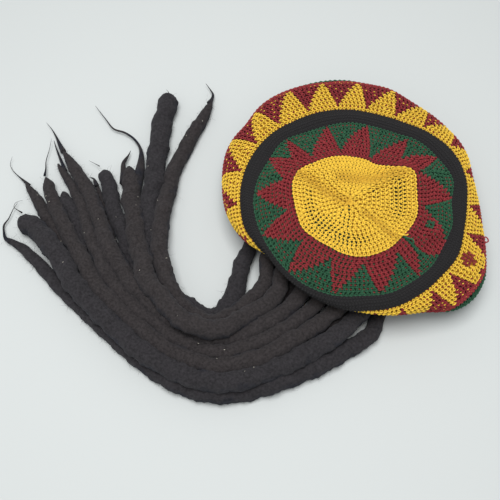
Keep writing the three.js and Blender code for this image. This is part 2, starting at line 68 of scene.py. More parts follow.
def principled(name, colour, roughness):
    """A new material with its shader's plain values set. Returns it with its node tree and shader."""
    material = bpy.data.materials.new(name)
    material.use_nodes = True
    shader = material.node_tree.nodes["Principled BSDF"]
    shader.inputs["Base Color"].default_value = (*colour, 1)
    shader.inputs["Roughness"].default_value = roughness
    return material, material.node_tree, shader


floor_size = 6.0
floor_mesh = bpy.data.meshes.new("floor")
corner = floor_size / 2
floor_mesh.from_pydata(
    [(-corner, -corner, 0), (corner, -corner, 0), (corner, corner, 0), (-corner, corner, 0)],
    [],
    [(0, 1, 2, 3)],
)
floor = bpy.data.objects.new("floor", floor_mesh)
bpy.context.scene.collection.objects.link(floor)
paper, _, paper_shader = principled("pale sheet", (0.58, 0.605, 0.6), 0.9)
paper_shader.inputs["Specular IOR Level"].default_value = 0.1
floor_mesh.materials.append(paper)

world = bpy.data.worlds.new("soft daylight")
world.use_nodes = True
world.node_tree.nodes["Background"].inputs["Color"].default_value = (0.95, 0.97, 0.975, 1)
world.node_tree.nodes["Background"].inputs["Strength"].default_value = 0.55
bpy.context.scene.world = world
bpy.context.scene.view_settings.view_transform = "Standard"


def area_light(name, place, size, energy, target):
    """A square lamp that faces a target point."""
    data = bpy.data.lights.new(name, "AREA")
    data.size = size
    data.energy = energy
    lamp = bpy.data.objects.new(name, data)
    aim = np.array(place) - np.array(target)
    aim = aim / np.linalg.norm(aim)
    lamp.location = place
    lamp.rotation_euler = (math.acos(aim[2]), 0, math.atan2(aim[1], aim[0]) + math.pi / 2)
    bpy.context.scene.collection.objects.link(lamp)


lamp_place = view_target + np.array([-0.1, -0.05, 1.4])
lamp_size = 0.8
lamp_power = 17.5
area_light("broad lamp", lamp_place, lamp_size, lamp_power, view_target)

# Gold centre
# The disc of gold crochet that the tam was begun with, in rounds of single crochet worked outwards
# from a ring. Each stitch shows as a small V of wool yarn that stands in the V below it.
gold_radius = 62 * mm
star_depth = 42 * mm
ring_width = 14 * mm
overhang = 30 * mm
crown_rise = 31 * mm
cloth_wall = 2.6 * mm
crown_slide = -12 * mm
ridge_height = 2 * mm
band_outer = (band_high[0] - band_low[0]) / 2
band_height = band_high[2]
crown_top = band_height + crown_rise
ring_inner = gold_radius + star_depth
ring_outer = ring_inner + ring_width
rim_radius = ring_outer + overhang
seam_gap = 0.6 * mm

# Shares that shape the cloth between its edges: the gold edge's sink in cloth thicknesses, how much
# of the ring's height and of the crown's top the ring's inner edge takes, the shoulder's place on
# the way from the ring to the rim, its bulge and its drop, and the place of the cloth under the rim
gold_sink = 0.6
inner_takes_ring, inner_takes_top = 0.3, 0.62
shoulder_place, shoulder_bulge, shoulder_drop = 0.66, 0.22, 0.36
under_rim_place = 0.16

# Stations round the hat: turn in degrees, then gold edge, ring's inner and outer edge and rim as
# shares of their radii, then the ring's height as a share of the crown's top, and the heights of
# the rim and of the cloth under it as shares of the head band's height. From 195 to 270 the locks
# below push the rim up, and the ring lies almost at the hat's edge.
stations = np.array([
    (0, 0.99, 0.95, 0.973, 0.89, 0.83, 0.68, 0.27),
    (15, 1.04, 1.03, 1.031, 0.902, 0.826, 0.67, 0.25),
    (30, 1.12, 1.01, 1.06, 0.99, 0.82, 0.65, 0.22),
    (45, 0.89, 1.0, 1.034, 1.05, 0.815, 0.62, 0.21),
    (60, 0.75, 0.94, 0.99, 1.108, 0.81, 0.6, 0.2),
    (75, 0.77, 0.93, 0.982, 1.168, 0.804, 0.59, 0.2),
    (90, 0.8, 0.95, 1.0, 1.215, 0.8, 0.58, 0.2),
    (105, 0.85, 0.94, 1.009, 1.208, 0.804, 0.59, 0.2),
    (120, 0.91, 0.95, 1.01, 1.19, 0.81, 0.6, 0.2),
    (135, 0.97, 1.01, 1.028, 1.121, 0.815, 0.61, 0.19),
    (150, 1.09, 0.99, 1.03, 1.06, 0.82, 0.65, 0.23),
    (165, 1.09, 1.01, 1.022, 0.973, 0.829, 0.74, 0.39),
    (180, 1.04, 1.02, 1.01, 0.905, 0.83, 0.86, 0.6),
    (195, 1.03, 1.01, 0.99, 0.82, 0.785, 1.0, 0.81),
    (210, 1.05, 1.0, 0.905, 0.71, 0.77, 1.12, 0.98),
    (225, 1.01, 1.01, 0.905, 0.7, 0.749, 1.14, 1.01),
    (240, 0.99, 1.02, 0.925, 0.715, 0.735, 1.13, 1.0),
    (255, 1.02, 1.01, 0.945, 0.737, 0.724, 1.14, 1.02),
    (270, 1.03, 0.98, 0.965, 0.765, 0.73, 1.13, 1.0),
    (285, 1.01, 0.99, 0.981, 0.81, 0.78, 1.06, 0.9),
    (300, 0.99, 0.97, 0.97, 0.87, 0.83, 0.95, 0.74),
    (315, 0.96, 0.965, 0.958, 1.0, 0.831, 0.81, 0.48),
    (330, 0.98, 0.94, 0.97, 1.02, 0.82, 0.7, 0.26),
    (345, 1.0, 0.96, 0.951, 0.92, 0.825, 0.68, 0.24),
])

# Creases and puckers that run outwards: turn, from and to level, width as a share of the gold
# radius, height as a share of the cloth's thickness
folds = np.array([
    (152, 0.1, 1.0, 0.08, -0.8),
    (322, 0.2, 1.0, 0.07, -0.8),
    (48, 0.45, 1.1, 0.1, -1.0),
    (335, 1.15, 1.95, 0.14, 2.4),
    (349, 1.1, 1.9, 0.12, -1.3),
    (318, 1.2, 1.9, 0.14, -1.0),
    (15, 3.6, 5.6, 0.3, -1.4),
    (345, 3.6, 5.6, 0.3, 1.2),
    (72, 3.4, 5.4, 0.32, 1.0),
    (135, 3.4, 5.4, 0.3, -1.1),
])

# Soft creases across the gold disc, dented and painted with shade: points as turn and share of the
# gold radius, and half the crease's width as a share of the gold radius
creases = [
    ([(146, 0.97), (146, 0.75), (152, 0.47), (160, 0.2), (180, 0.05)], 0.1),
    ([(104, 0.47), (69, 0.45), (44, 0.6), (37.5, 0.86), (34, 1.06)], 0.12),
    ([(316, 0.28), (320, 0.55), (317, 0.82), (318, 0.98)], 0.05),
]
crease_depth = 1.0 * mm
disc_shift = np.array([-7.4, -3.7]) * mm


def hermite(t, start, end, slope_start, slope_end):
    """The cubic from start to end: (2t^3 - 3t^2 + 1) start + (t^3 - 2t^2 + t) slope at the start
    + (3t^2 - 2t^3) end + (t^3 - t^2) slope at the end."""
    return (
        (2 * t**3 - 3 * t**2 + 1) * start
        + (t**3 - 2 * t**2 + t) * slope_start
        + (3 * t**2 - 2 * t**3) * end
        + (t**3 - t**2) * slope_end
    )


def around(column, turns):
    """A station's column at any turns: the cubic through the four nearest stations, whose slope at
    a station is half the difference between its neighbours."""
    values = stations[:, column]
    place = np.mod(turns, 360) * len(values) / 360
    first = np.floor(place).astype(int)
    a, b, c, d = (values[(first + step) % len(values)] for step in (-1, 0, 1, 2))
    return hermite(place - first, b, c, (c - a) / 2, (d - b) / 2)


def curve(points, place):
    """Smooth curves through points. points is levels x curves x 3, place is a level for each curve.
    The knots are the sums of the square roots of the distances, and the tangent at a point is the
    mean of the slopes on both sides, weighted towards the shorter side."""
    steps = np.diff(points, axis=0)
    spans = np.sqrt(np.linalg.norm(steps, axis=2, keepdims=True))
    slopes = steps / spans
    tangents = np.concatenate([slopes[:1], slopes[:1], slopes[1:]])
    share = spans[1:] / (spans[:-1] + spans[1:])
    tangents[1:-1] = slopes[1:] + (slopes[:-1] - slopes[1:]) * share
    first = np.clip(np.floor(place).astype(int), 0, len(points) - 2)
    column = np.arange(points.shape[1])
    span = spans[first, column]
    return hermite(
        (place - first)[:, None],
        points[first, column],
        points[first + 1, column],
        span * tangents[first, column],
        span * tangents[first + 1, column],
    )


def level_points(turns):
    """The eight points of the cloth at each turn, from the first round's centre to the head band:
    centre + radius x (cos turn, sin turn). The band's point has the band's axis as its centre, and
    the others have the crown's."""
    along = np.stack([np.cos(np.radians(turns)), np.sin(np.radians(turns))], axis=-1)
    slide = np.array([0, crown_slide])

    def at(radius, shift, high):
        flat = along * np.asarray(radius)[..., None] + shift
        return np.concatenate([flat, np.broadcast_to(high, turns.shape)[..., None]], axis=-1)

    ring_high = crown_top * around(5, turns)
    rim_high = band_height * around(6, turns)
    centre = at(0 * turns, slide + disc_shift, crown_top)
    gold = at(gold_radius * around(1, turns), slide, crown_top - gold_sink * cloth_wall)
    inner_high = inner_takes_ring * ring_high + inner_takes_top * crown_top
    inner = at(ring_inner * around(2, turns), slide, inner_high)
    outer = at(ring_outer * around(3, turns), slide, ring_high)
    rim = at(rim_radius * around(4, turns), slide, rim_high)
    band = at(band_outer + seam_gap + 0 * turns, 0, band_height - cloth_wall)
    drop = ring_high - rim_high
    shoulder = outer + (rim - outer) * shoulder_place
    shoulder[..., :2] += along * (shoulder_bulge * drop)[..., None]
    shoulder[..., 2] = ring_high - shoulder_drop * drop
    under = rim + (band - rim) * under_rim_place
    under[..., 2] = band_height * around(7, turns)
    return np.stack([centre, gold, inner, outer, shoulder, rim, under, band])


# The cloth's surface is worked out once on a grid: turns round the hat by equal distances along
# the cloth from the crown's centre. Everything crocheted is placed on it.
turn_count = 720
distance_count = 420
level_count = 141
grid_turns = np.arange(turn_count) * 360 / turn_count
level_rows = level_points(grid_turns)
levels = np.linspace(0, 7, level_count)
flat_levels = np.repeat(levels, turn_count)
tiled = np.tile(level_rows, (1, level_count, 1))
meridians = curve(tiled, flat_levels).reshape(level_count, turn_count, 3)
tape = np.concatenate([
    np.zeros((1, turn_count)),
    np.cumsum(np.linalg.norm(np.diff(meridians, axis=0), axis=2), axis=0),
])
tape_ends = tape[-1]
shares = np.linspace(0, 1, distance_count)
grid_levels = np.stack([np.interp(shares * line[-1], line, levels) for line in tape.T], axis=1)
smooth_cloth = curve(
    np.tile(level_rows, (1, distance_count, 1)), grid_levels.reshape(-1)
).reshape(distance_count, turn_count, 3)


def unit(vectors):
    """Each vector divided by its length."""
    return vectors / np.maximum(np.linalg.norm(vectors, axis=-1, keepdims=True), 1e-12)


outward = np.gradient(smooth_cloth, axis=0)
sideways = np.roll(smooth_cloth, -1, axis=1) - np.roll(smooth_cloth, 1, axis=1)
facing = unit(np.cross(outward, sideways))
facing[0] = (0, 0, 1)


def fold_heights(turns, level, points):
    """Sum over the folds of height x exp(-(distance aside / width)^2) x sin^2(pi x share of its
    run), plus the black ring's ridge, which is sin^2 over the ring's width."""
    reach = np.hypot(points[..., 0], points[..., 1] - crown_slide)
    high = np.zeros(reach.shape)
    for turn, start, end, wide, tall in folds:
        run = np.clip((level - start) / (end - start), 0, 1)
        angle = np.radians(turns - turn)
        aside = reach * np.sin(angle) / (wide * gold_radius)
        across = np.exp(-(aside**2)) * (np.cos(angle) > 0)
        high += tall * cloth_wall * across * np.sin(np.pi * run) ** 2
    ring = np.clip(level - 2, 0, 1)
    return high + ridge_height * np.sin(np.pi * ring) ** 2


def crease_marks(points):
    """How deep in a crease each point of the cloth lies, from 0 to 1: exp(-(distance / half width)^2)
    for the nearest straight stretch of a crease."""
    flat = (points[..., :2] - np.array([0, crown_slide]) - disc_shift) / gold_radius
    marks = np.zeros(flat.shape[:-1])
    for line, half_width in creases:
        turns, reach = np.radians(np.array(line)[:, 0]), np.array(line)[:, 1]
        corners = np.stack([np.cos(turns) * reach, np.sin(turns) * reach], axis=1)
        for start, end in zip(corners[:-1], corners[1:]):
            run = end - start
            part = np.clip((flat - start) @ run / (run @ run), 0, 1)
            distance = np.linalg.norm(flat - start - part[..., None] * run, axis=-1)
            marks = np.maximum(marks, np.exp(-((distance / half_width) ** 2)))
    return marks


heights = fold_heights(grid_turns[None, :], grid_levels, smooth_cloth)
heights -= crease_depth * crease_marks(smooth_cloth)
cloth_points = smooth_cloth + facing * heights[..., None] + band_axis
outward = np.gradient(cloth_points, axis=0)
sideways = np.roll(cloth_points, -1, axis=1) - np.roll(cloth_points, 1, axis=1)
cloth_facing = unit(np.cross(outward, sideways))
cloth_facing[0] = (0, 0, 1)


def grid_place(turns):
    """The grid turns before and after each turn, and how far it is on the way between them."""
    place = np.mod(turns, 360) * turn_count / 360
    first = np.floor(place).astype(int) % turn_count
    return first, (first + 1) % turn_count, place - np.floor(place)


def at_turn(values, turns):
    """A value of every grid turn, read between them at any turns."""
    first, second, t = grid_place(turns)
    return values[first] * (1 - t) + values[second] * t


def on_cloth(turns, distance, height):
    """The point at a distance along the cloth, lifted by height along the cloth's facing, and that
    facing, read between the grid's four nearest points."""
    first, second, t = grid_place(turns)
    t = t[..., None]
    share = np.clip(distance / at_turn(tape_ends, turns), 0, 1) * (distance_count - 1)
    row = np.clip(np.floor(share).astype(int), 0, distance_count - 2)
    s = (share - row)[..., None]

    def read(grid):
        near = grid[row, first] * (1 - t) + grid[row, second] * t
        far = grid[row + 1, first] * (1 - t) + grid[row + 1, second] * t
        return near * (1 - s) + far * s

    normal = unit(read(cloth_facing))
    return read(cloth_points) + normal * np.asarray(height)[..., None], normal


# The distance of each colour's edge along the cloth, for every grid turn
zigzag_depth = 32 * mm
plain_red_depth = 12 * mm
# The teeth and the plain red are deeper at the back: turn, share of each depth
pattern_depth = np.array([
    (0, 1.0, 1.0), (40, 1.15, 1.3), (58, 1.45, 1.4), (75, 1.45, 1.2), (97, 1.4, 0.5), (113, 1.45, 1.4),
    (130, 1.42, 1.5), (145, 1.35, 1.3), (162, 1.1, 1.2), (182, 0.95, 1.0), (300, 1.0, 1.0),
    (312, 1.0, 0.4), (330, 1.0, 0.4), (345, 1.0, 1.0), (360, 1.0, 1.0),
])
depth_turns, tooth_depths, plain_depths = pattern_depth.T
edge_gold, edge_inner, edge_outer = (
    np.array([np.interp(level, levels, line) for line in tape.T]) for level in (1, 2, 3)
)
# The black ring rolls outwards by this much where it lies over the locks
ring_roll = 4.5 * mm
roll_turns = [200, 210, 262, 272]
edge_outer += ring_roll * np.interp(grid_turns, roll_turns, [0, 1, 1, 0])
edge_zigzag = edge_outer + zigzag_depth * np.interp(grid_turns, depth_turns, tooth_depths)
edge_red = edge_zigzag + plain_red_depth * np.interp(grid_turns, depth_turns, plain_depths)
edge_band = tape_ends

# Where the colours change. Each row of star_corners gives a turn and how far the red reaches there,
# as a share of the way from the gold edge to the black ring. Each row of teeth gives the turn where
# the outer red reaches in, how far the gold still reaches there, and the turn of the gold point
# after it. A green patch in the star and a red diamond in the gold teeth are given by turn, share
# and half sizes.
star_corners = np.array([
    (3, 1.0), (26, 0.12), (31, 1.0), (45, 0.28), (52, 0.92), (69, 0.15), (73, 0.15), (79, 0.97),
    (104, 0.12), (105, 0.98), (131, 0.17), (132, 1.0), (143, 0.42), (149, 1.05), (162, 0.26), (174, 0.96),
    (190, 0.16), (201, 0.98), (219, 0.2), (227, 0.99), (246, 0.2), (254, 0.94), (272, 0.15), (280, 0.96),
    (302, 0.17), (305, 0.98), (314, 0.55), (315, 0.05), (317, 0.05), (319, 0.8), (326, 1.05), (333, 1.0),
    (342, 0.65), (354, 0.14),
])
teeth = np.array([
    (18.5, 0.1, 25), (34, 0.1, 41), (50, 0.1, 55), (65.5, 0.1, 70), (80.5, 0.1, 84.5), (95.5, 0.1, 99),
    (111, 0.1, 113), (128, 0.1, 129.5), (144, 0.1, 146), (161.5, 0.1, 164), (180, 0.1, 182.5),
    (198, 0.1, 203), (216, 0.1, 221), (232, 0.1, 237), (248, 0.1, 252), (263, 0.1, 267),
    (277, 0.1, 281.5), (289, 0.1, 296), (306, 0.1, 311), (319, 0.1, 324), (330, 0.9, 336),
    (343.6, 0.1, 348), (359.5, 0.1, 364),
])
gold_point_reach = 1.08
tooth_turns = teeth[:, [0, 2]].reshape(-1)
tooth_reach = np.stack([teeth[:, 1], np.full(len(teeth), gold_point_reach)], axis=1).reshape(-1)
patch_turn, patch_share, patch_half_turn, patch_half_share = 338.5, 0.4, 4.0, 0.14
diamond_turn, diamond_share, diamond_half_turn, diamond_half_share = 331, 0.36, 4.6, 0.3


def reach_at(turns, corner_turns, corner_reach):
    """How far a colour reaches at any turn, along straight lines between its corners."""
    return np.interp(np.mod(turns, 360), np.mod(corner_turns, 360), corner_reach, period=360)


def colour_edges(zone, share):
    """The sorted turns where the colour changes in a round of a zone, at a share of its depth. The
    reach crosses the share between two grid turns, on the straight line between them."""
    if zone == "star":
        reach = reach_at(grid_turns, star_corners[:, 0], star_corners[:, 1])
        middle, half = patch_turn, patch_half_turn * (abs(share - patch_share) < patch_half_share)
    elif zone == "outer":
        reach = reach_at(grid_turns, tooth_turns, tooth_reach)
        narrower = 1 - abs(share - diamond_share) / diamond_half_share
        middle, half = diamond_turn, diamond_half_turn * narrower
    else:
        return np.zeros(0)
    above = reach - share
    after = np.roll(above, -1)
    crossing = np.flatnonzero((above > 0) != (after > 0))
    part = above[crossing] / (above[crossing] - after[crossing])
    edges = grid_turns[crossing] + part * 360 / turn_count
    if half > 0:
        edges = np.append(edges, [middle - half, middle + half])
    return np.sort(np.mod(edges, 360))


def seams_between(count, shift, edges):
    """The turns between the stitches of a round: count equal stitches, turned by shift stitches, and
    then drawn along so that every colour edge falls between two of them."""
    if len(edges) == 0:
        return (np.arange(count + 1) + shift) * 360 / count
    steps = np.arange(len(edges))
    knots = np.round(edges * count / 360 - shift)
    knots = np.maximum.accumulate(knots - steps) + steps
    known = np.concatenate([[knots[-1] - count], knots, [knots[0] + count]])
    turns = np.concatenate([[edges[-1] - 360], edges, [edges[0] + 360]])
    return np.interp(np.arange(count + 1) + knots[0], known, turns)


# Rounds of crochet: name, inner edge, outer edge, number of rounds, stitch width, yarn radius
gold_rounds, star_rounds, ring_rounds, outer_rounds, plain_rounds, under_rounds = 15, 10, 6, 8, 3, 13
zones = [
    ("gold", 0 * edge_gold, edge_gold, gold_rounds, 4.2 * mm, 0.9 * mm),
    ("star", edge_gold, edge_inner, star_rounds, 4.2 * mm, 0.88 * mm),
    ("ring", edge_inner, edge_outer, ring_rounds, 3.0 * mm, 1.1 * mm),
    ("outer", edge_outer, edge_zigzag, outer_rounds, 4.2 * mm, 0.9 * mm),
    ("plain", edge_zigzag, edge_red, plain_rounds, 4.2 * mm, 0.92 * mm),
    ("under", edge_red, edge_band, under_rounds, 4.6 * mm, 0.95 * mm),
]
round_table = []
for zone, (name, start, end, count, width, yarn) in enumerate(zones):
    for k in range(count):
        line = start + (end - start) * k / count
        round_table.append((line, zone, width, yarn, colour_edges(name, (k + 0.5) / count)))
round_lines = np.array([row[0] for row in round_table] + [edge_band])

# Every stitch: its round, the turn of its top, the turn of the stitch below that it stands in, how
# far it reaches round the hat and how that changes its yarn. A round has as many stitches as its
# length takes, and the seam drifts from round to round.
seam_drift = 0.309
narrowest_stitch = 0.3
stitches = []
below_turns = None
for k, (_, _, width, _, colour_turns) in enumerate(round_table):
    middle = (round_lines[k] + round_lines[k + 1]) / 2
    ring_points, _ = on_cloth(grid_turns, middle, 0 * grid_turns)
    length = np.linalg.norm(ring_points - np.roll(ring_points, 1, axis=0), axis=1).sum()
    count = max(6, round(length / width))
    seams = seams_between(count, seam_drift * k * k % 1, colour_turns)
    wide = np.diff(seams) > narrowest_stitch * 360 / count
    spans = np.diff(seams)[wide]
    top_turns = np.mod((seams[:-1] + seams[1:])[wide] / 2, 360)
    if below_turns is None:
        foot_turns = top_turns
    else:
        below = np.sort(np.concatenate([below_turns - 360, below_turns, below_turns + 360]))
        after = np.searchsorted(below, top_turns)
        nearer = top_turns - below[after - 1] < below[after] - top_turns
        foot_turns = np.where(nearer, below[after - 1], below[after])
    fit = np.sqrt(np.clip(spans * count / 360, 0.5, 1.2))
    stitches.append(np.stack([np.full(len(top_turns), k), top_turns, foot_turns, spans, fit]))
    below_turns = top_turns
stitch_round, stitch_top, stitch_foot, stitch_span, stitch_fit = np.concatenate(stitches, axis=1)
stitch_round = stitch_round.astype(int)
stitch_zone = np.array([row[1] for row in round_table])[stitch_round]
stitch_yarn = np.array([row[3] for row in round_table])[stitch_round] * stitch_fit


def mesh_object(name, points, quads, caps, materials, attributes, loop_uv=None):
    """A mesh from arrays: points, four-cornered faces, and end caps of any one number of corners.
    attributes maps a name to one value for each point."""
    mesh = bpy.data.meshes.new(name)
    corners = np.concatenate([quads.reshape(-1), caps.reshape(-1)])
    sizes = np.concatenate([np.full(len(quads), 4), np.full(len(caps), caps.shape[1])])
    mesh.vertices.add(len(points))
    mesh.vertices.foreach_set("co", points.astype(np.float32).reshape(-1))
    mesh.loops.add(len(corners))
    mesh.loops.foreach_set("vertex_index", corners.astype(np.int32))
    mesh.polygons.add(len(sizes))
    starts = np.concatenate([[0], np.cumsum(sizes)[:-1]])
    mesh.polygons.foreach_set("loop_start", starts.astype(np.int32))
    mesh.polygons.foreach_set("use_smooth", np.ones(len(sizes), dtype=bool))
    mesh.update(calc_edges=True)
    for key, values in attributes.items():
        layer = mesh.attributes.new(key, "FLOAT", "POINT")
        layer.data.foreach_set("value", values.astype(np.float32).reshape(-1))
    if loop_uv is not None:
        layer = mesh.uv_layers.new(name="along")
        layer.data.foreach_set("uv", loop_uv.astype(np.float32).reshape(-1))
    mesh.validate()
    for material in materials:
        mesh.materials.append(material)
    thing = bpy.data.objects.new(name, mesh)
    bpy.context.scene.collection.objects.link(thing)
    return thing


def ring_faces(index):
    """The four-cornered faces between neighbouring rings. index numbers the points by ring and by
    place round the ring, in its last two axes."""
    turned = np.roll(index, -1, axis=-1)
    near, far = index[..., :-1, :], index[..., 1:, :]
    near_turned, far_turned = turned[..., :-1, :], turned[..., 1:, :]
    return np.stack([near, near_turned, far_turned, far], axis=-1).reshape(-1, 4)


def tubes(centres, normals, radius, sides):
    """Closed tubes round many paths at once. centres and normals are tubes x points x 3, radius is
    tubes x points. A ring's corner is centre + radius x (cos a x side + sin a x up), where up is
    the normal made square to the path and side is up x ahead. Returns points, quads, caps and the
    place of each face corner round and along the tube."""
    count, steps = radius.shape
    ahead = unit(np.gradient(centres, axis=1))
    up = unit(normals - ahead * np.sum(normals * ahead, axis=-1, keepdims=True))
    side = np.cross(up, ahead)
    angle = 2 * np.pi * np.arange(sides) / sides
    around_tube = (
        side[:, :, None] * np.cos(angle)[None, None, :, None]
        + up[:, :, None] * np.sin(angle)[None, None, :, None]
    )
    points = centres[:, :, None] + around_tube * radius[:, :, None, None]
    index = np.arange(count * steps * sides).reshape(count, steps, sides)
    caps = np.concatenate([index[:, 0, ::-1], index[:, -1]])
    spans = np.linalg.norm(np.diff(centres, axis=1), axis=2)
    lengths = np.concatenate([np.zeros((count, 1)), np.cumsum(spans, axis=1)], axis=1)
    u = np.broadcast_to((np.arange(sides + 1) / sides)[None, None, :], (count, steps, sides + 1))
    v = np.broadcast_to(lengths[:, :, None], (count, steps, sides + 1))
    grid = np.stack([u, v], axis=-1)
    near, far = grid[:, :-1], grid[:, 1:]
    corners = np.stack([near[:, :, :-1], near[:, :, 1:], far[:, :, 1:], far[:, :, :-1]], axis=3)
    loop_uv = np.concatenate([corners.reshape(-1, 2), np.zeros((caps.size, 2))])
    return points.reshape(-1, 3), ring_faces(index), caps, loop_uv


# The V of a stitch: four places from its foot to its top, as shares of the round's height, with how
# far each leg is aside as a share of the stitch, and its height in yarn radii. The bar is the loop
# that lies across the stitch's top.
leg_along = np.array([-0.15, 0.22, 0.55, 0.88])
tight_aside = np.array([0.08, 0.16, 0.27, 0.42])
open_aside = np.array([0.04, 0.08, 0.15, 0.38])
leg_height = np.array([-0.9, 0.2, 0.5, 0.1])
leg_thickness = np.array([0.85, 0.95, 1.0, 0.9])
# This row and the bar's row below give how much of the yarn's own colour each place keeps; the rest is
# painted shade, darkest at the foot deep in the stitch.
leg_lit_share = np.array([0.1, 0.45, 0.75, 0.6])
bar_aside = np.array([-0.54, 0.0, 0.54])
bar_along = np.array([0.96, 1.02, 0.96])
bar_height = np.array([0.1, 1.2, 0.1])
bar_thickness = np.array([0.75, 1.1, 0.75])
bar_lit_share = np.array([0.5, 1.0, 0.5])
stitch_sink = -0.5 * mm
least_distance = 0.3 * mm

# How much stitches differ at random: in turn, in length and in the yarn's thickness
turn_jitter, length_jitter, yarn_jitter = 0.03, 0.035, 0.03

# How open the stitches of each zone are, how much an open place in the gold disc adds, how much
# thinner open yarn is and how much painted shade a crease puts on the stitches
zone_openness = np.array([0.45, 0.9, 0.0, 1.1, 0.9, 0.4])
open_place_adds = 0.75
open_thins = 0.28
crease_painted_shade = 0.5

# Open places in the gold disc: turn and half width in degrees, place and half depth as shares of
# the disc's radius, strength
open_patches = [
    (215, 50, 0.72, 0.13, 1.0),
    (262, 22, 0.7, 0.1, 0.7),
    (5, 32, 0.74, 0.12, 1.0),
    (108, 26, 0.52, 0.09, 0.6),
    (30, 40, 0.38, 0.1, 0.5),
]


def open_places(turns, share):
    """Where the gold disc's stitches lie open: the sum over the patches of strength x exp(-(turns
    aside / half width)^2 - (shares aside / half depth)^2)."""
    total = np.zeros(turns.shape)
    for turn, across, place, deep, strength in open_patches:
        aside = (turns - turn + 180) % 360 - 180
        total += strength * np.exp(-((aside / across) ** 2) - ((share - place) / deep) ** 2)
    return np.clip(total, 0, 1)


def line_at(rounds, turns):
    """The distance along the cloth of a round's inner line at a turn."""
    first, second, t = grid_place(turns)
    return round_lines[rounds, first] * (1 - t) + round_lines[rounds, second] * t


def stitch_paths(chosen, seed):
    """The paths of both legs and the bar of the chosen stitches, on the cloth. A leg's turn goes from
    the foot's to the top's, plus or minus its share of the stitch, and its distance from the round's
    inner line to its outer line. Returns centres, facings, radii, tone and depth, which sets the
    painted shade, for each point of the legs, and the same for the bars."""
    rng = np.random.default_rng(seed)
    count = len(chosen)
    rounds = stitch_round[chosen]
    span = stitch_span[chosen]
    top = stitch_top[chosen] + rng.normal(0, turn_jitter, count) * span
    lean = (stitch_foot[chosen] - top + 180) % 360 - 180
    lengthen = rng.normal(0, length_jitter, count)
    share = (rounds + 0.5) / gold_rounds
    bare = np.where(stitch_zone[chosen] == 0, open_places(top, share), 0)
    middle = (line_at(rounds, top) + line_at(rounds + 1, top)) / 2
    in_crease = crease_marks(on_cloth(top, middle, 0 * middle)[0] - band_axis)
    openness = zone_openness[stitch_zone[chosen]] * (1 - in_crease) + open_place_adds * bare
    yarn = stitch_yarn[chosen] * (1 - open_thins * openness) * rng.normal(1, yarn_jitter, count)
    tone = rng.uniform(0, 1, count)

    def path(turns, along, lift):
        inner = line_at(rounds, turns)
        outer = line_at(rounds + 1, turns)
        distance = np.maximum(inner + (outer - inner) * (along + lengthen), least_distance)
        return on_cloth(turns, distance, stitch_sink + lift * yarn)

    def strand(sides, along, lift, thickness, depth):
        parts = [path(turns, along[k], lift[k]) for k, turns in enumerate(sides)]
        centres = np.stack([part[0] for part in parts], axis=1)
        facings = np.stack([part[1] for part in parts], axis=1)
        tones = np.repeat(tone[:, None], len(along), axis=1)
        # In a crease the stitches are painted darker, as shade.
        lit_shares = depth * (1 - crease_painted_shade * in_crease)[:, None]
        return centres, facings, yarn[:, None] * thickness, tones, lit_shares

    legs = []
    for hand in (-1, 1):
        sides = []
        for k, along in enumerate(leg_along):
            aside = tight_aside[k] + (open_aside[k] - tight_aside[k]) * openness
            sides.append(top + lean * np.clip(1 - along, 0, 1) + hand * aside * span)
        legs.append(strand(sides, leg_along, leg_height, leg_thickness, leg_lit_share))
    sides = [top + aside * span for aside in bar_aside]
    bars = strand(sides, bar_along, bar_height, bar_thickness, bar_lit_share)
    return [np.concatenate(pair) for pair in zip(*legs)], bars


def crochet_piece(name, chosen, sides, material, seed):
    """A piece of crochet: both legs and the bar of every chosen stitch as closed tubes."""
    parts = []
    for centres, facings, radius, tone, depth in stitch_paths(chosen, seed):
        points, quads, caps, loop_uv = tubes(centres, facings, radius, sides)
        shift = len(parts[0][0]) if parts else 0
        side_uv, cap_uv = np.split(loop_uv, [quads.size])
        shades = [np.repeat(values.reshape(-1), sides) for values in (tone, depth)]
        parts.append((points, quads + shift, caps + shift, side_uv, cap_uv, *shades))
    points, quads, caps, side_uv, cap_uv, tone, depth = (np.concatenate(pair) for pair in zip(*parts))
    loop_uv = np.concatenate([side_uv, cap_uv])
    attributes = {"tone": tone, "depth": depth}
    return mesh_object(name, points, quads, caps, [material], attributes, loop_uv)


def shader_group(name, inputs, output, kind):
    """A node group with named inputs, each given as (name, type, value), and one output."""
    group = bpy.data.node_groups.new(name, "ShaderNodeTree")
    for label, socket_kind, value in inputs:
        socket = group.interface.new_socket(name=label, in_out="INPUT", socket_type=socket_kind)
        socket.default_value = value
    group.interface.new_socket(name=output, in_out="OUTPUT", socket_type=kind)
    start = group.nodes.new("NodeGroupInput")
    end = group.nodes.new("NodeGroupOutput")
    return group, start.outputs, end.inputs


def shader_node(tree, kind, inputs, output, **settings):
    """A shader node with its settings and inputs. An input is given a plain value, or an output of
    another node, which is linked to it. Returns the output that is asked for."""
    node = tree.nodes.new("ShaderNode" + kind)
    for key, value in settings.items():
        setattr(node, key, value)
    for key, value in inputs.items():
        if isinstance(value, bpy.types.NodeSocket):
            tree.links.new(value, node.inputs[key])
        else:
            node.inputs[key].default_value = value
    return node.outputs[output]


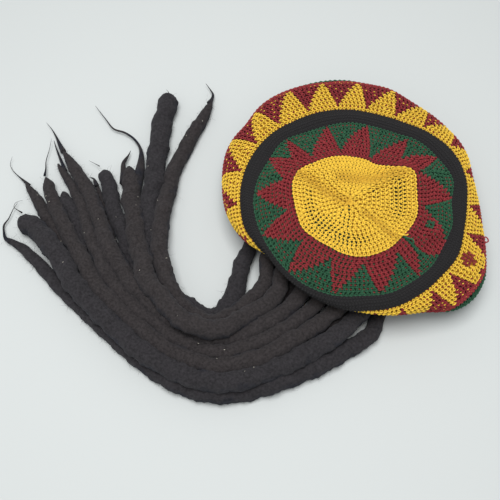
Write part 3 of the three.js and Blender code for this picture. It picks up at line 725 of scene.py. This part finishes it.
# Yarn shade: the yarn's colour with painted shade mixed in deep in the stitch, and a little lighter or
# darker for each stitch and along the yarn
yarn_shade, shade_in, shade_out = shader_group(
    "yarn shade",
    [
        ("Colour", "NodeSocketColor", (0.5, 0.5, 0.5, 1)),
        ("Painted shade colour", "NodeSocketColor", (0.1, 0.1, 0.1, 1)),
        ("Tone", "NodeSocketFloat", 0.5),
        ("Depth", "NodeSocketFloat", 1.0),
        ("Variation", "NodeSocketFloat", 0.3),
    ],
    "Colour",
    "NodeSocketColor",
)
place = shader_node(yarn_shade, "TexCoord", {}, "Object")
mottle = shader_node(yarn_shade, "TexNoise", {"Vector": place, "Scale": 900, "Detail": 2}, "Fac")
both = shader_node(yarn_shade, "Math", {0: mottle, 1: shade_in["Tone"]}, 0, operation="ADD")
centred = {"Value": both, "From Max": 2, "To Min": -0.5, "To Max": 0.5}
lighter = shader_node(yarn_shade, "MapRange", centred, 0)
scaled = {0: lighter, 1: shade_in["Variation"], 2: 1.0}
brightness = shader_node(yarn_shade, "Math", scaled, 0, operation="MULTIPLY_ADD")
lit = {"Value": brightness, "Color": shade_in["Colour"]}
bright = shader_node(yarn_shade, "HueSaturation", lit, "Color")
layers = {"Factor": shade_in["Depth"], "A": shade_in["Painted shade colour"], "B": bright}
deepened = shader_node(yarn_shade, "Mix", layers, "Result", data_type="RGBA")
yarn_shade.links.new(deepened, shade_out["Colour"])

# Ply twist: slanted ridges round the yarn, from the place round and along each tube
ply_twist, twist_in, twist_out = shader_group(
    "ply twist",
    [
        ("Place", "NodeSocketVector", (0, 0, 0)),
        ("Plies", "NodeSocketFloat", 3.0),
        ("Turns per metre", "NodeSocketFloat", 320.0),
    ],
    "Height",
    "NodeSocketFloat",
)
place_x = shader_node(ply_twist, "SeparateXYZ", {0: twist_in["Place"]}, "X")
place_y = place_x.node.outputs["Y"]
around_yarn = {0: place_x, 1: twist_in["Plies"]}
plies = shader_node(ply_twist, "Math", around_yarn, 0, operation="MULTIPLY")
along_yarn = {0: place_y, 1: twist_in["Turns per metre"], 2: plies}
ply_turns = shader_node(ply_twist, "Math", along_yarn, 0, operation="MULTIPLY_ADD")
angle = shader_node(ply_twist, "Math", {0: ply_turns, 1: 2 * math.pi}, 0, operation="MULTIPLY")
wave = shader_node(ply_twist, "Math", {0: angle}, 0, operation="SINE")
ply_twist.links.new(wave, twist_out["Height"])


def yarn_material(name, colour, deep, variation):
    """Wool yarn: lighter or darker by tone, with painted shade from its deep colour mixed in by depth,
    twisted from three plies, with a soft fuzzy sheen.
    """
    material, tree, shader = principled(name, colour, 0.82)
    shader.inputs["Specular IOR Level"].default_value = 0.25
    shader.inputs["Sheen Weight"].default_value = 0.25
    shader.inputs["Sheen Roughness"].default_value = 0.6
    shader.inputs["Sheen Tint"].default_value = (*(min(1.0, 2 * value + 0.1) for value in colour), 1)
    tone, depth = (
        shader_node(tree, "Attribute", {}, "Fac", attribute_name=key)
        for key in ("tone", "depth")
    )
    shades = {"Colour": (*colour, 1), "Painted shade colour": (*deep, 1), "Variation": variation}
    shades.update({"Tone": tone, "Depth": depth})
    shade = shader_node(tree, "Group", shades, "Colour", node_tree=yarn_shade)
    uv = shader_node(tree, "UVMap", {}, "UV", uv_map="along")
    twist = shader_node(tree, "Group", {"Place": uv}, "Height", node_tree=ply_twist)
    ridges = {"Height": twist, "Strength": 0.5, "Distance": 0.25 * mm}
    tree.links.new(shade, shader.inputs["Base Color"])
    tree.links.new(shader_node(tree, "Bump", ridges, "Normal"), shader.inputs["Normal"])
    return material


# The second colour of each yarn is its painted shade, mixed in deep in the stitches and in creases.
gold_yarn = yarn_material("gold yarn", (1.0, 0.66, 0.065), (0.42, 0.18, 0.01), 0.25)
gold_centre = crochet_piece("gold_centre_stitches", np.flatnonzero(stitch_zone == 0), 5, gold_yarn, 11)
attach(gold_centre, "root")
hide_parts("gold_centre")

# Red star
# Fourteen leaning points of red crochet round the gold disc, of the same wool yarn. They are worked
# together with the green in the same rounds, and one point has a green patch.


def share_between(distance, start, end, turns):
    """Where a distance along the cloth lies between two edges, as a share."""
    near = at_turn(start, turns)
    return (distance - near) / (at_turn(end, turns) - near)


def share_of(rounds, first, count):
    """The middle of a round as a share of its zone."""
    return (rounds - first + 0.5) / count


first_star_round = gold_rounds
star_reach = reach_at(stitch_top, star_corners[:, 0], star_corners[:, 1])
star_share = share_of(stitch_round, first_star_round, star_rounds)
patch_aside = (stitch_top - patch_turn + 180) % 360 - 180
green_patch = np.abs(patch_aside) < patch_half_turn
green_patch &= np.abs(star_share - patch_share) < patch_half_share
is_red_star = (stitch_zone == 1) & (star_share < star_reach) & ~green_patch
red_yarn = yarn_material("red yarn", (0.31, 0.03, 0.036), (0.06, 0.009, 0.01), 0.5)
red_star = crochet_piece("red_star_stitches", np.flatnonzero(is_red_star), 5, red_yarn, 12)
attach(red_star, "root")
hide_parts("red_star")

# Green field
# The green crochet between the star's points, worked in the same rounds. Its last round carries
# the black ring.
green_yarn = yarn_material("green yarn", (0.025, 0.115, 0.055), (0.008, 0.025, 0.014), 0.45)
is_green_field = (stitch_zone == 1) & ~is_red_star
green_field = crochet_piece("green_field_stitches", np.flatnonzero(is_green_field), 5, green_yarn, 13)
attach(green_field, "root")
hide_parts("green_field")

# Black ring
# Six tight rounds of black crochet that stand up as a smooth ridge. Their stitches are narrower
# than the others and show no holes.
black_yarn = yarn_material("black yarn", (0.015, 0.014, 0.015), (0.008, 0.008, 0.008), 0.2)
black_ring = crochet_piece("black_ring_stitches", np.flatnonzero(stitch_zone == 2), 5, black_yarn, 14)
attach(black_ring, "root")
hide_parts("black_ring")

# Gold zigzag
# Gold teeth that point outwards from the black ring, with one small red diamond. They are worked
# together with the red teeth in eight rounds.
outer_reach = reach_at(stitch_top, tooth_turns, tooth_reach)
first_outer_round = gold_rounds + star_rounds + ring_rounds
outer_share = share_of(stitch_round, first_outer_round, outer_rounds)
diamond_aside = np.abs((stitch_top - diamond_turn + 180) % 360 - 180) / diamond_half_turn
diamond = diamond_aside + np.abs(outer_share - diamond_share) / diamond_half_share < 1
is_gold_zigzag = (stitch_zone == 3) & (outer_share < outer_reach) & ~diamond
gold_zigzag = crochet_piece("gold_zigzag_stitches", np.flatnonzero(is_gold_zigzag), 5, gold_yarn, 15)
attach(gold_zigzag, "root")
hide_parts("gold_zigzag")

# Red zigzag
# The red between the gold teeth, and the three plain red rounds outside them, which roll over the
# rim to the underside.
is_red_zigzag = ((stitch_zone == 3) & ~is_gold_zigzag) | (stitch_zone == 4)
red_zigzag = crochet_piece("red_zigzag_stitches", np.flatnonzero(is_red_zigzag), 5, red_yarn, 16)
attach(red_zigzag, "root")
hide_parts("red_zigzag")

# Green underside
# Plain green rounds that gather the crown in to the head band. Only their first rounds show, below
# the rim.
green_under = crochet_piece("green_under_stitches", np.flatnonzero(stitch_zone == 5), 4, green_yarn, 17)
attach(green_under, "root")
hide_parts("green_under")

# Carried yarns
# The yarn of the other colour is carried along inside each round of the pattern, and shows as small
# specks between the stitches.
carried_lean = 0.55
carried_place, carried_jitter = 0.42, 0.06
carried_half = 0.16, 0.26
carried_slant = 0.05
carried_droop = 0.5 * mm
carried_radius = 0.42, 0.6


def carried_bars(name, chosen, share, height, material, seed):
    """Short tubes across some of the gaps beside the chosen stitches, a little below the middle of
    the round. share is how many of the gaps have one."""
    rng = np.random.default_rng(seed)
    picked = chosen[rng.random(len(chosen)) < share]
    count = len(picked)
    rounds = stitch_round[picked]
    lean = (stitch_foot[picked] - stitch_top[picked] + 180) % 360 - 180
    middle = stitch_top[picked] + carried_lean * lean + stitch_span[picked] / 2
    along = carried_place + rng.normal(0, carried_jitter, count)
    half = rng.uniform(*carried_half, count) * stitch_span[picked]
    path = []
    normal = []
    for step in (-1, 0, 1):
        turns = middle + step * half
        inner = line_at(rounds, turns)
        distance = inner + (line_at(rounds + 1, turns) - inner) * (along + carried_slant * step)
        point, face = on_cloth(turns, distance, np.full(count, height - carried_droop * abs(step)))
        path.append(point)
        normal.append(face)
    radius = np.repeat(rng.uniform(*carried_radius, count)[:, None] * mm, 3, axis=1)
    points, quads, caps, loop_uv = tubes(np.stack(path, axis=1), np.stack(normal, axis=1), radius, 5)
    tone = np.repeat(rng.uniform(0, 1, count), len(points) // count)
    # A depth of 0.85 mixes a little painted shade into the carried yarns.
    attributes = {"tone": tone, "depth": np.full(len(points), 0.85)}
    bars = mesh_object(name, points, quads, caps, [material], attributes, loop_uv)
    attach(bars, "root")
    return bars


red_teeth, gold_teeth = np.flatnonzero(is_red_zigzag), np.flatnonzero(is_gold_zigzag)
green_points, red_points = np.flatnonzero(is_green_field), np.flatnonzero(is_red_star)
gold_bars = carried_bars("gold_carried_in_red", red_teeth, 0.34, -0.2 * mm, gold_yarn, 31)
red_in_gold = carried_bars("red_carried_in_gold", gold_teeth, 0.3, -0.5 * mm, red_yarn, 32)
red_in_green = carried_bars("red_carried_in_green", green_points, 0.6, -0.5 * mm, red_yarn, 33)
green_in_red = carried_bars("green_carried_in_red", red_points, 0.35, -0.7 * mm, green_yarn, 34)

# Yarn ends
# A gold and a green yarn end that were not woven in at the edge of the gold disc, and a loop of
# red yarn that stands off the rim.
def loose_yarn(name, edge, path, radius, material, seed):
    """A loose yarn as one tube. Each row of path gives a turn, a distance in mm outwards from an
    edge, and a height in mm over the cloth."""
    path = np.array(path, dtype=float)
    distance = at_turn(edge, path[:, 0]) + path[:, 1] * mm
    corners, normals = on_cloth(path[:, 0], distance, path[:, 2] * mm)
    count = 6 * len(path)
    place = np.linspace(0, len(path) - 1, count)
    line = curve(np.repeat(corners[:, None], count, axis=1), place)
    facing_line = curve(np.repeat(normals[:, None], count, axis=1), place)
    points, quads, caps, loop_uv = tubes(line[None], facing_line[None], np.full((1, count), radius), 8)
    attributes = {"tone": np.full(len(points), 0.6), "depth": np.ones(len(points))}
    yarn = mesh_object(name, points, quads, caps, [material], attributes, loop_uv)
    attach(yarn, "root")
    return yarn


gold_end = loose_yarn("gold_yarn_end", edge_gold, [
    (314.5, -4, 0.2), (315.7, -1.5, 1.2), (317.1, 1.2, 1.4),
    (318.2, 2.6, 1.6), (319.6, 3.4, 1.2), (320.6, 3.2, 0.4),
], 0.55 * mm, gold_yarn, 41)
green_end = loose_yarn("green_yarn_end", edge_gold, [
    (316.6, 2.4, 0.2), (316.4, 4.6, 1.6), (317.2, 7.2, 2.2),
    (318.2, 9.6, 2.2), (318.0, 12, 1.6), (317.2, 13.4, 0.4),
], 0.8 * mm, green_yarn, 42)
red_loop = loose_yarn("red_yarn_loop", edge_zigzag, [
    (347.2, 1, 0.2), (347.6, 1.2, 1.8), (346.9, 1.6, 3.6),
    (345.6, 1.8, 3.8), (345.0, 1.6, 2.0), (345.2, 1.4, 0.2),
], 0.7 * mm, red_yarn, 43)

# Inner side of the crochet
# The backs of the stitches and the yarns carried along inside them, seen as dark gaps from above
# and as a plain knitted side from below. Their colours are the yarns' colours painted much darker as
# the shade in the gaps, and near black painted shade where the gold disc lies open.
back_turns = 240
back_rows = 64
back_upper, back_lower = -1.9 * mm, -2.7 * mm
dark_from = 0.35
turns = np.arange(back_turns) * 360 / back_turns
back_shares = np.linspace(0.004, 1, back_rows)
turn_grid = np.tile(turns, (back_rows, 1))
distance_grid = back_shares[:, None] * at_turn(tape_ends, turns)[None, :]
upper, _ = on_cloth(turn_grid, distance_grid, np.full(turn_grid.shape, back_upper))
lower, _ = on_cloth(turn_grid, distance_grid, np.full(turn_grid.shape, back_lower))
points = np.concatenate([upper.reshape(-1, 3), lower.reshape(-1, 3)])
index = np.arange(back_rows * back_turns).reshape(back_rows, back_turns)
turned = np.roll(index, -1, axis=1)
outer_faces = np.stack([index[:-1], index[1:], turned[1:], turned[:-1]], axis=-1).reshape(-1, 4)
inner_faces = outer_faces[:, ::-1] + len(points) // 2
low = index + len(points) // 2
low_turned = turned + len(points) // 2
edge_faces = np.stack([index[-1], low[-1], low_turned[-1], turned[-1]], axis=-1)
quads = np.concatenate([outer_faces, inner_faces, edge_faces])
caps = np.stack([index[0], low[0, ::-1]])
shaded_back_colours = {
    "dark gap": (0.02, 0.014, 0.01),
    "gold back": (0.34, 0.16, 0.014),
    "red back": (0.075, 0.012, 0.014),
    "green back": (0.014, 0.035, 0.02),
    "black back": (0.016, 0.016, 0.017),
}
back_materials = []
for name, colour in shaded_back_colours.items():
    back_yarn, _, back_shader = principled(name, colour, 0.95)
    back_shader.inputs["Specular IOR Level"].default_value = 0.1
    back_materials.append(back_yarn)
face_turns = np.tile(turns + 180 / back_turns, (back_rows - 1, 1))
face_shares = (back_shares[:-1] + back_shares[1:])[:, None] / 2 * at_turn(tape_ends, face_turns)
gold_share = face_shares / at_turn(edge_gold, face_turns)
star_place = share_between(face_shares, edge_gold, edge_inner, face_turns)
outer_place = share_between(face_shares, edge_outer, edge_zigzag, face_turns)
under_place = share_between(face_shares, edge_red, edge_band, face_turns)
dark, gold, red, green, black = range(5)
star_reach = reach_at(face_turns, star_corners[:, 0], star_corners[:, 1])
tooth_ends = reach_at(face_turns, tooth_turns, tooth_reach)
back_kind = np.where(star_place < star_reach, red, green)
back_kind[gold_share < 1] = gold
# Open places of the gold disc get the near black painted shade of the dark gap.
back_kind[(gold_share < 1) & (open_places(face_turns, gold_share) > dark_from)] = dark
back_kind[star_place >= 1] = black
back_kind = np.where(outer_place >= 0, np.where(outer_place < tooth_ends, gold, red), back_kind)
back_kind[under_place >= 0] = green
rest_kind = np.full(len(edge_faces) + len(caps), green)
back_kind = np.concatenate([back_kind.reshape(-1), back_kind.reshape(-1), rest_kind])
inner_cloth = mesh_object("inner_cloth", points, quads, caps, back_materials, {})
inner_cloth.data.polygons.foreach_set("material_index", back_kind.astype(np.int32))
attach(inner_cloth, "root")

# Head band
# A black band of wool in upright ribs round the head opening, worked on to the crown's last round.
# The crown hides it from above.
rib_count = 84
columns_per_rib = 6
rib_columns = rib_count * columns_per_rib
rib_height = 0.5 * mm
inner_rib = 0.5
band_wall = 2.0 * mm
band_rounding = 0.4 * mm
below_cloth = 3 * mm
round_place = np.arange(rib_columns) / rib_columns
ribs = rib_height * np.abs(np.sin(np.pi * rib_count * round_place))
rise = np.linspace(0, 1, 9)
band_inner = band_outer - band_wall
rounding = band_rounding * np.abs(2 * rise - 1) ** 8
outer_radius = (band_outer - rib_height + ribs)[None, :] - rounding[:, None]
inner_radius = (band_inner - inner_rib * ribs)[None, :] + 0 * rise[:, None]
radius = np.concatenate([outer_radius, inner_radius[::-1]])
tall = np.concatenate([rise, rise[::-1]])[:, None] * (band_height - below_cloth) + 0 * radius
angle = 2 * np.pi * round_place[None, :]
points = np.stack([radius * np.cos(angle), radius * np.sin(angle), tall], axis=-1) + band_axis
index = np.arange(radius.size).reshape(radius.shape)
faces = ring_faces(np.concatenate([index, index[:1]]))
band_yarn, _, band_shader = principled("ribbed black yarn", (0.028, 0.027, 0.028), 0.85)
band_shader.inputs["Sheen Weight"].default_value = 0.2
no_caps = np.zeros((0, 4), int)
head_band = mesh_object("ribbed_head_band", points.reshape(-1, 3), faces, no_caps, [band_yarn], {})
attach(head_band, "root")
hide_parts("head_band")

# Locks
# Twelve long ropes of felted wool that hang from the head band. They are rolled by hand, so they
# are lumpy, and fine hairs stand off them.
lock_names = [f"lock_{number:02d}" for number in range(1, 13)]
lock_sides = 24
lock_sections = 150
root_spokes = 7
floor_gap = 0.3 * mm

# The lock's fullness along its length, and the swellings of its skin: wave length in mm, lobes
# round the lock, height as a share of the radius
fullness_places = [0.1, 0.22, 0.6, 0.8, 1.0]
fullness = [1.08, 1.36, 1.36, 1.24, 1.18]
swellings = [
    (97, 1, 0.07), (53, 1, 0.1), (34, 2, 0.06), (24, 1, 0.06), (16, 2, 0.06), (11, 3, 0.045), (7, 2, 0.035)
]
skin_roughness = 0.022


def solid_rings(node):
    """The rings of a lock's solid, from its root to its tip. The solid's points are numbered by how
    many edges away they are from the middle of its root, and each number is one ring. Returns each
    ring's middle and its mean radius."""
    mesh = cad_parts[node].data
    points = np.empty(len(mesh.vertices) * 3)
    mesh.vertices.foreach_get("co", points)
    mesh.calc_loop_triangles()
    triangles = np.empty(len(mesh.loop_triangles) * 3, dtype=int)
    mesh.loop_triangles.foreach_get("vertices", triangles)
    merged, number = np.unique(np.round(points.reshape(-1, 3), 6), axis=0, return_inverse=True)
    triangles = number.reshape(-1)[triangles].reshape(-1, 3)
    edges = np.concatenate([triangles[:, [0, 1]], triangles[:, [1, 2]], triangles[:, [2, 0]]])
    neighbours = np.bincount(edges[:, 0], minlength=len(merged))
    middles = np.flatnonzero(neighbours == root_spokes)
    reach = np.linalg.norm((merged - band_axis)[middles, :2], axis=1)
    away = np.full(len(merged), -1)
    away[middles[np.argmin(reach)]] = 0
    step = 0
    while (away < 0).any():
        near = edges[(away[edges[:, 0]] == step) & (away[edges[:, 1]] < 0), 1]
        step += 1
        away[near] = step
    rings = [merged[away == number] for number in range(1, step)]
    centres = np.array([ring.mean(axis=0) for ring in rings])
    radii = np.array([np.linalg.norm(ring - ring.mean(axis=0), axis=1).mean() for ring in rings])
    return centres, radii


def side_and_up(ahead):
    """For each direction along a lock, the direction to its side and the one up from it."""
    up = unit(np.array([0, 0, 1]) - ahead * ahead[:, 2:3])
    return np.cross(up, ahead), up


def lock_surface(centres, radii, rng):
    """A lock's skin as sections x sides x 3. The middle line is a smooth curve through the solid's
    rings. The radius is theirs x fullness x (1 + the sum of height x sin(length) x cos(lobes x
    angle) over the swellings). Also returns how much each point of the skin looks up, 0 to 1."""
    steps = np.concatenate([[0], np.cumsum(np.linalg.norm(np.diff(centres, axis=0), axis=1))])
    along = np.linspace(0, 1, lock_sections)
    place = np.interp(along * steps[-1], steps, np.arange(len(steps)))
    middle = curve(np.repeat(centres[:, None], lock_sections, axis=1), place)
    radius = np.interp(along * steps[-1], steps, radii)
    radius = radius * np.interp(along, fullness_places, fullness)
    side_way, up = side_and_up(unit(np.gradient(middle, axis=0)))
    angle = 2 * np.pi * (np.arange(lock_sides) / lock_sides - 0.25)
    length = along[:, None] * steps[-1]
    swell = np.zeros((lock_sections, lock_sides))
    for wave_length, lobes, size in swellings:
        wobble = rng.uniform(0, 2 * np.pi, 2)
        waves = np.sin(2 * np.pi / (wave_length * mm) * length + wobble[0])
        swell += size * waves * np.cos(lobes * angle[None, :] + wobble[1])
    swell += skin_roughness * rng.normal(0, 1, swell.shape)
    ring = radius[:, None] * (1 + swell)
    skin = (
        middle[:, None]
        + side_way[:, None] * (np.cos(angle)[None, :] * ring)[..., None]
        + up[:, None] * (np.sin(angle)[None, :] * ring)[..., None]
    )
    skin[..., 2] = np.maximum(skin[..., 2], floor_gap)
    # upward sets the felt's painted light: the skin is painted lighter the more it faces up.
    upward = np.tile(0.5 + 0.5 * np.sin(angle), lock_sections)
    return middle, radius, skin, upward


def felt_material(name, shade_colour, lit_colour):
    """Felted wool: bluish painted shade where the skin faces down into the valleys between the locks and
    brownish painted light on their tops, by the attribute upward and a cloudy noise, with grain from the
    fine fibres."""
    material, tree, shader = principled(name, lit_colour, 0.95)
    shader.inputs["Specular IOR Level"].default_value = 0.1
    shader.inputs["Sheen Weight"].default_value = 0.12
    shader.inputs["Sheen Roughness"].default_value = 0.6
    shader.inputs["Sheen Tint"].default_value = (0.4, 0.4, 0.43, 1)
    place = shader_node(tree, "TexCoord", {}, "Object")
    upward = shader_node(tree, "Attribute", {}, "Fac", attribute_name="upward")
    clouds = {"Vector": place, "Scale": 60, "Detail": 6}
    cloud = shader_node(tree, "TexNoise", clouds, "Fac")
    both = {0: upward, 1: 0.7, 2: cloud}
    height = shader_node(tree, "Math", both, 0, operation="MULTIPLY_ADD")
    colour = shader_node(tree, "ValToRGB", {"Fac": height}, "Color")
    ramp = colour.node.color_ramp
    ramp.elements[0].color = (*shade_colour, 1)
    ramp.elements[0].position = 0.72
    ramp.elements[1].color = (*lit_colour, 1)
    ramp.elements[1].position = 1
    grains = {"Vector": place, "Scale": 380, "Detail": 4, "Roughness": 0.7}
    grain = shader_node(tree, "TexNoise", grains, "Fac")
    spread = {"Value": grain, "From Min": 0.35, "From Max": 0.65, "To Min": 0.65, "To Max": 1.35}
    speckle = shader_node(tree, "MapRange", spread, 0)
    speckled = {"Value": speckle, "Color": colour}
    shade = shader_node(tree, "HueSaturation", speckled, "Color")
    bumps = {"Height": grain, "Strength": 0.9, "Distance": 0.9 * mm}
    tree.links.new(shade, shader.inputs["Base Color"])
    tree.links.new(shader_node(tree, "Bump", bumps, "Normal"), shader.inputs["Normal"])
    return material


# Two copies of the same felt: the second has a darker, greyer top and is painted shade for the locks that
# lie lower, under the others.
lit_felt = felt_material("felt in painted light", (0.01, 0.012, 0.019), (0.031, 0.027, 0.0275))
shaded_felt = felt_material("felt in painted shade", (0.01, 0.012, 0.019), (0.0275, 0.0255, 0.028))
shaded_locks = ("lock_01", "lock_03", "lock_07", "lock_11", "lock_12")

lock_rng = np.random.default_rng(21)
lock_lines = {}
for name in lock_names:
    centres, radii = solid_rings(name)
    middle, radius, skin, upward = lock_surface(centres, radii, lock_rng)
    lock_lines[name] = (middle, radius)
    index = np.arange(lock_sections * lock_sides).reshape(lock_sections, lock_sides)
    caps = np.stack([index[0, ::-1], index[-1]])
    felt = shaded_felt if name in shaded_locks else lit_felt
    points = skin.reshape(-1, 3)
    faces = ring_faces(index)
    lock = mesh_object(f"{name}_felt", points, faces, caps, [felt], {"upward": upward})
    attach(lock, "root")
    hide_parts(name)

# Strands at the tips
# Thin ends of wool that were never rolled in, drawn out from the tips of the locks. Each is given
# by its points in mm from the head band's axis, with the height above the surface and the radius.
strands = {
    "lock_11": [
        (-372, -33, 6, 3.2), (-379, -28, 5, 1.9), (-382, -20, 5, 1.2), (-383, -12, 5, 1.0),
        (-379, -4, 5, 0.6), (-375, 8, 6, 0.35), (-371, 16, 6, 0.15),
    ],
    "lock_12": [
        (-364, 2, 8, 1.0), (-369, 5, 8, 0.5), (-374, 9, 8, 0.3), (-373, 15, 7, 0.2), (-366, 19, 6, 0.12),
    ],
    "lock_09": [
        (-362, 38, 6, 2.6), (-368, 44, 5, 1.4), (-375, 50, 5, 0.6), (-383, 58, 5, 0.35),
        (-387, 66, 5, 0.25), (-386, 76, 6, 0.12),
    ],
    "lock_10": [
        (-345, 50, 7, 1.5), (-345, 59, 6, 0.8), (-346, 70, 6, 0.5), (-344, 86, 6, 0.3), (-343, 100, 7, 0.12),
    ],
    "lock_08": [
        (-322, 56, 7, 2.6), (-327, 67, 6, 1.8), (-333, 80, 6, 1.1), (-338, 92, 6, 0.6), (-340, 98, 6, 0.25),
    ],
    "lock_06": [
        (-327, 82, 7, 3.4), (-333, 93, 6, 2.2), (-338, 103, 6, 1.1), (-344, 113, 6, 0.5),
        (-352, 123, 6, 0.15),
    ],
    "lock_05": [(-284, 36, 8, 3.0), (-286, 41, 8, 2.2), (-288, 45, 8, 1.2), (-292, 47, 8, 0.6)],
    "lock_04": [
        (-253, 40, 8, 5.5), (-255, 55, 7, 3.6), (-256, 66, 7, 2.4), (-254, 71, 7, 2.0),
        (-251, 78, 6, 0.9), (-249, 84, 6, 0.25),
    ],
    "lock_04_long": [
        (-241, 20, 9, 7.4), (-238, 42, 9, 6.6), (-236, 60, 8, 5.2), (-236, 76, 7, 3.0),
        (-238, 87, 6, 1.7), (-246, 100, 6, 1.3), (-258, 109, 6, 1.2), (-271, 114, 6, 1.0),
        (-282, 128, 6, 0.6), (-296, 147, 6, 0.2),
    ],
    "lock_02": [
        (-159, 150, 7, 3.4), (-156, 157, 6, 2.0), (-155, 164, 6, 1.3), (-159, 172, 6, 0.6),
        (-164, 180, 6, 0.25),
    ],
    "lock_01": [(-208, 160, 8, 1.0), (-209, 166, 8, 0.3), (-212, 170, 8, 0.12)],
    "lock_03": [(-283, 62, 8, 0.6), (-289, 66, 7, 0.3), (-296, 70, 7, 0.12)],
}
# Strands and fibres get one fixed mix of the felt's painted light and shade.
strand_upward = 0.6
strand_gap = 0.4 * mm
strand_steps = 48
strand_sides = 10
for name, path in strands.items():
    corners = np.array(path) * mm
    place = np.linspace(0, len(path) - 1, strand_steps)
    line = curve(np.repeat(corners[:, None, :3], strand_steps, axis=1), place) + band_axis
    radius = np.interp(place, np.arange(len(path)), corners[:, 3])
    line[:, 2] = np.maximum(line[:, 2], radius + strand_gap)
    up = np.tile([0.0, 0.0, 1.0], (1, strand_steps, 1))
    points, quads, caps, _ = tubes(line[None], up, radius[None], strand_sides)
    upward = {"upward": np.full(len(points), strand_upward)}
    strand = mesh_object(f"{name}_strand", points, quads, caps, [lit_felt], upward)
    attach(strand, "root")

# Loose fibres
# Fine hairs of wool that stand off the felt all over, in any direction. Each is a thin tube with
# one bend.
fibre_rng = np.random.default_rng(22)
fibre_count = 420
fibre_radius = [0.09, 0.07, 0.03]
fibre_least, fibre_mean = 0.9, 1.3
fibre_first, fibre_crowding = 0.12, 0.8
fibre_fan = -0.15, 1.15
fibre_root = 0.9
fibre_lean = 0.3, 0.9
fibre_bend = 0.6
nearly_up = [0.02, 0.01, 1.0]
fibre_paths = []
fibre_radii = []
for name in lock_names:
    middle, radius = lock_lines[name]
    share = fibre_rng.uniform(fibre_first, 1, fibre_count) ** fibre_crowding
    place = share * (lock_sections - 1)
    row = place.astype(int)
    ahead = unit(np.gradient(middle, axis=0))[row]
    side_way, up = side_and_up(ahead)
    angle = fibre_rng.uniform(*fibre_fan, fibre_count) * np.pi
    out = side_way * np.cos(angle)[:, None] + up * np.sin(angle)[:, None]
    root = middle[row] + out * (radius[row] * fibre_root)[:, None]
    lean = ahead * fibre_rng.normal(*fibre_lean, fibre_count)[:, None]
    first = unit(out + lean)
    second = unit(first + fibre_bend * fibre_rng.normal(0, 1, (fibre_count, 3)))
    reach = (fibre_least + fibre_rng.exponential(fibre_mean, fibre_count)) * mm
    knee = root + first * reach[:, None]
    end = knee + second * reach[:, None]
    path = np.stack([root, knee, end], axis=1)
    path[..., 2] = np.maximum(path[..., 2], strand_gap)
    fibre_paths.append(path)
    fibre_radii.append(np.tile(fibre_radius, (fibre_count, 1)) * mm)
fibre_paths = np.concatenate(fibre_paths)
fibre_up = np.tile(nearly_up, (*fibre_paths.shape[:2], 1))
points, quads, caps, _ = tubes(fibre_paths, fibre_up, np.concatenate(fibre_radii), 3)
upward = {"upward": np.full(len(points), strand_upward)}
fibres = mesh_object("loose_wool_fibres", points, quads, caps, [lit_felt], upward)
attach(fibres, "root")

# Lint
# A few pale specks of lint that cling to the felt, four on each lock. Each is a short bent tuft of
# loose fibre.
lint_rng = np.random.default_rng(23)
lint_count = 4
lint_rows = 45, lock_sections - 6
lint_fan = 0.25, 0.75
lint_reach = 0.3, 0.9
lint_lift = 0.2 * mm
lint_root = 1.02
lint_radius = [0.2, 0.32, 0.2]
lint_paths = []
for name in lock_names:
    middle, radius = lock_lines[name]
    row = lint_rng.integers(*lint_rows, lint_count)
    ahead = unit(np.gradient(middle, axis=0))[row]
    side_way, up = side_and_up(ahead)
    angle = lint_rng.uniform(*lint_fan, lint_count) * np.pi
    out = side_way * np.cos(angle)[:, None] + up * np.sin(angle)[:, None]
    start = middle[row] + out * (radius[row] * lint_root + lint_lift)[:, None]
    along = unit(ahead + lint_rng.normal(0, 1, (lint_count, 3)))
    along = along * lint_rng.uniform(*lint_reach, (lint_count, 1)) * mm
    lint_paths.append(np.stack([start - along, start + out * lint_lift, start + along], axis=1))
lint_paths = np.concatenate(lint_paths)
lint_up = np.tile(nearly_up, (*lint_paths.shape[:2], 1))
lint_radii = np.tile(lint_radius, (len(lint_paths), 1)) * mm
points, quads, caps, _ = tubes(lint_paths, lint_up, lint_radii, 5)
lint_material, _, _ = principled("pale lint", (0.5, 0.47, 0.4), 0.9)
lint = mesh_object("lint_specks", points, quads, caps, [lint_material], {})
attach(lint, "root")
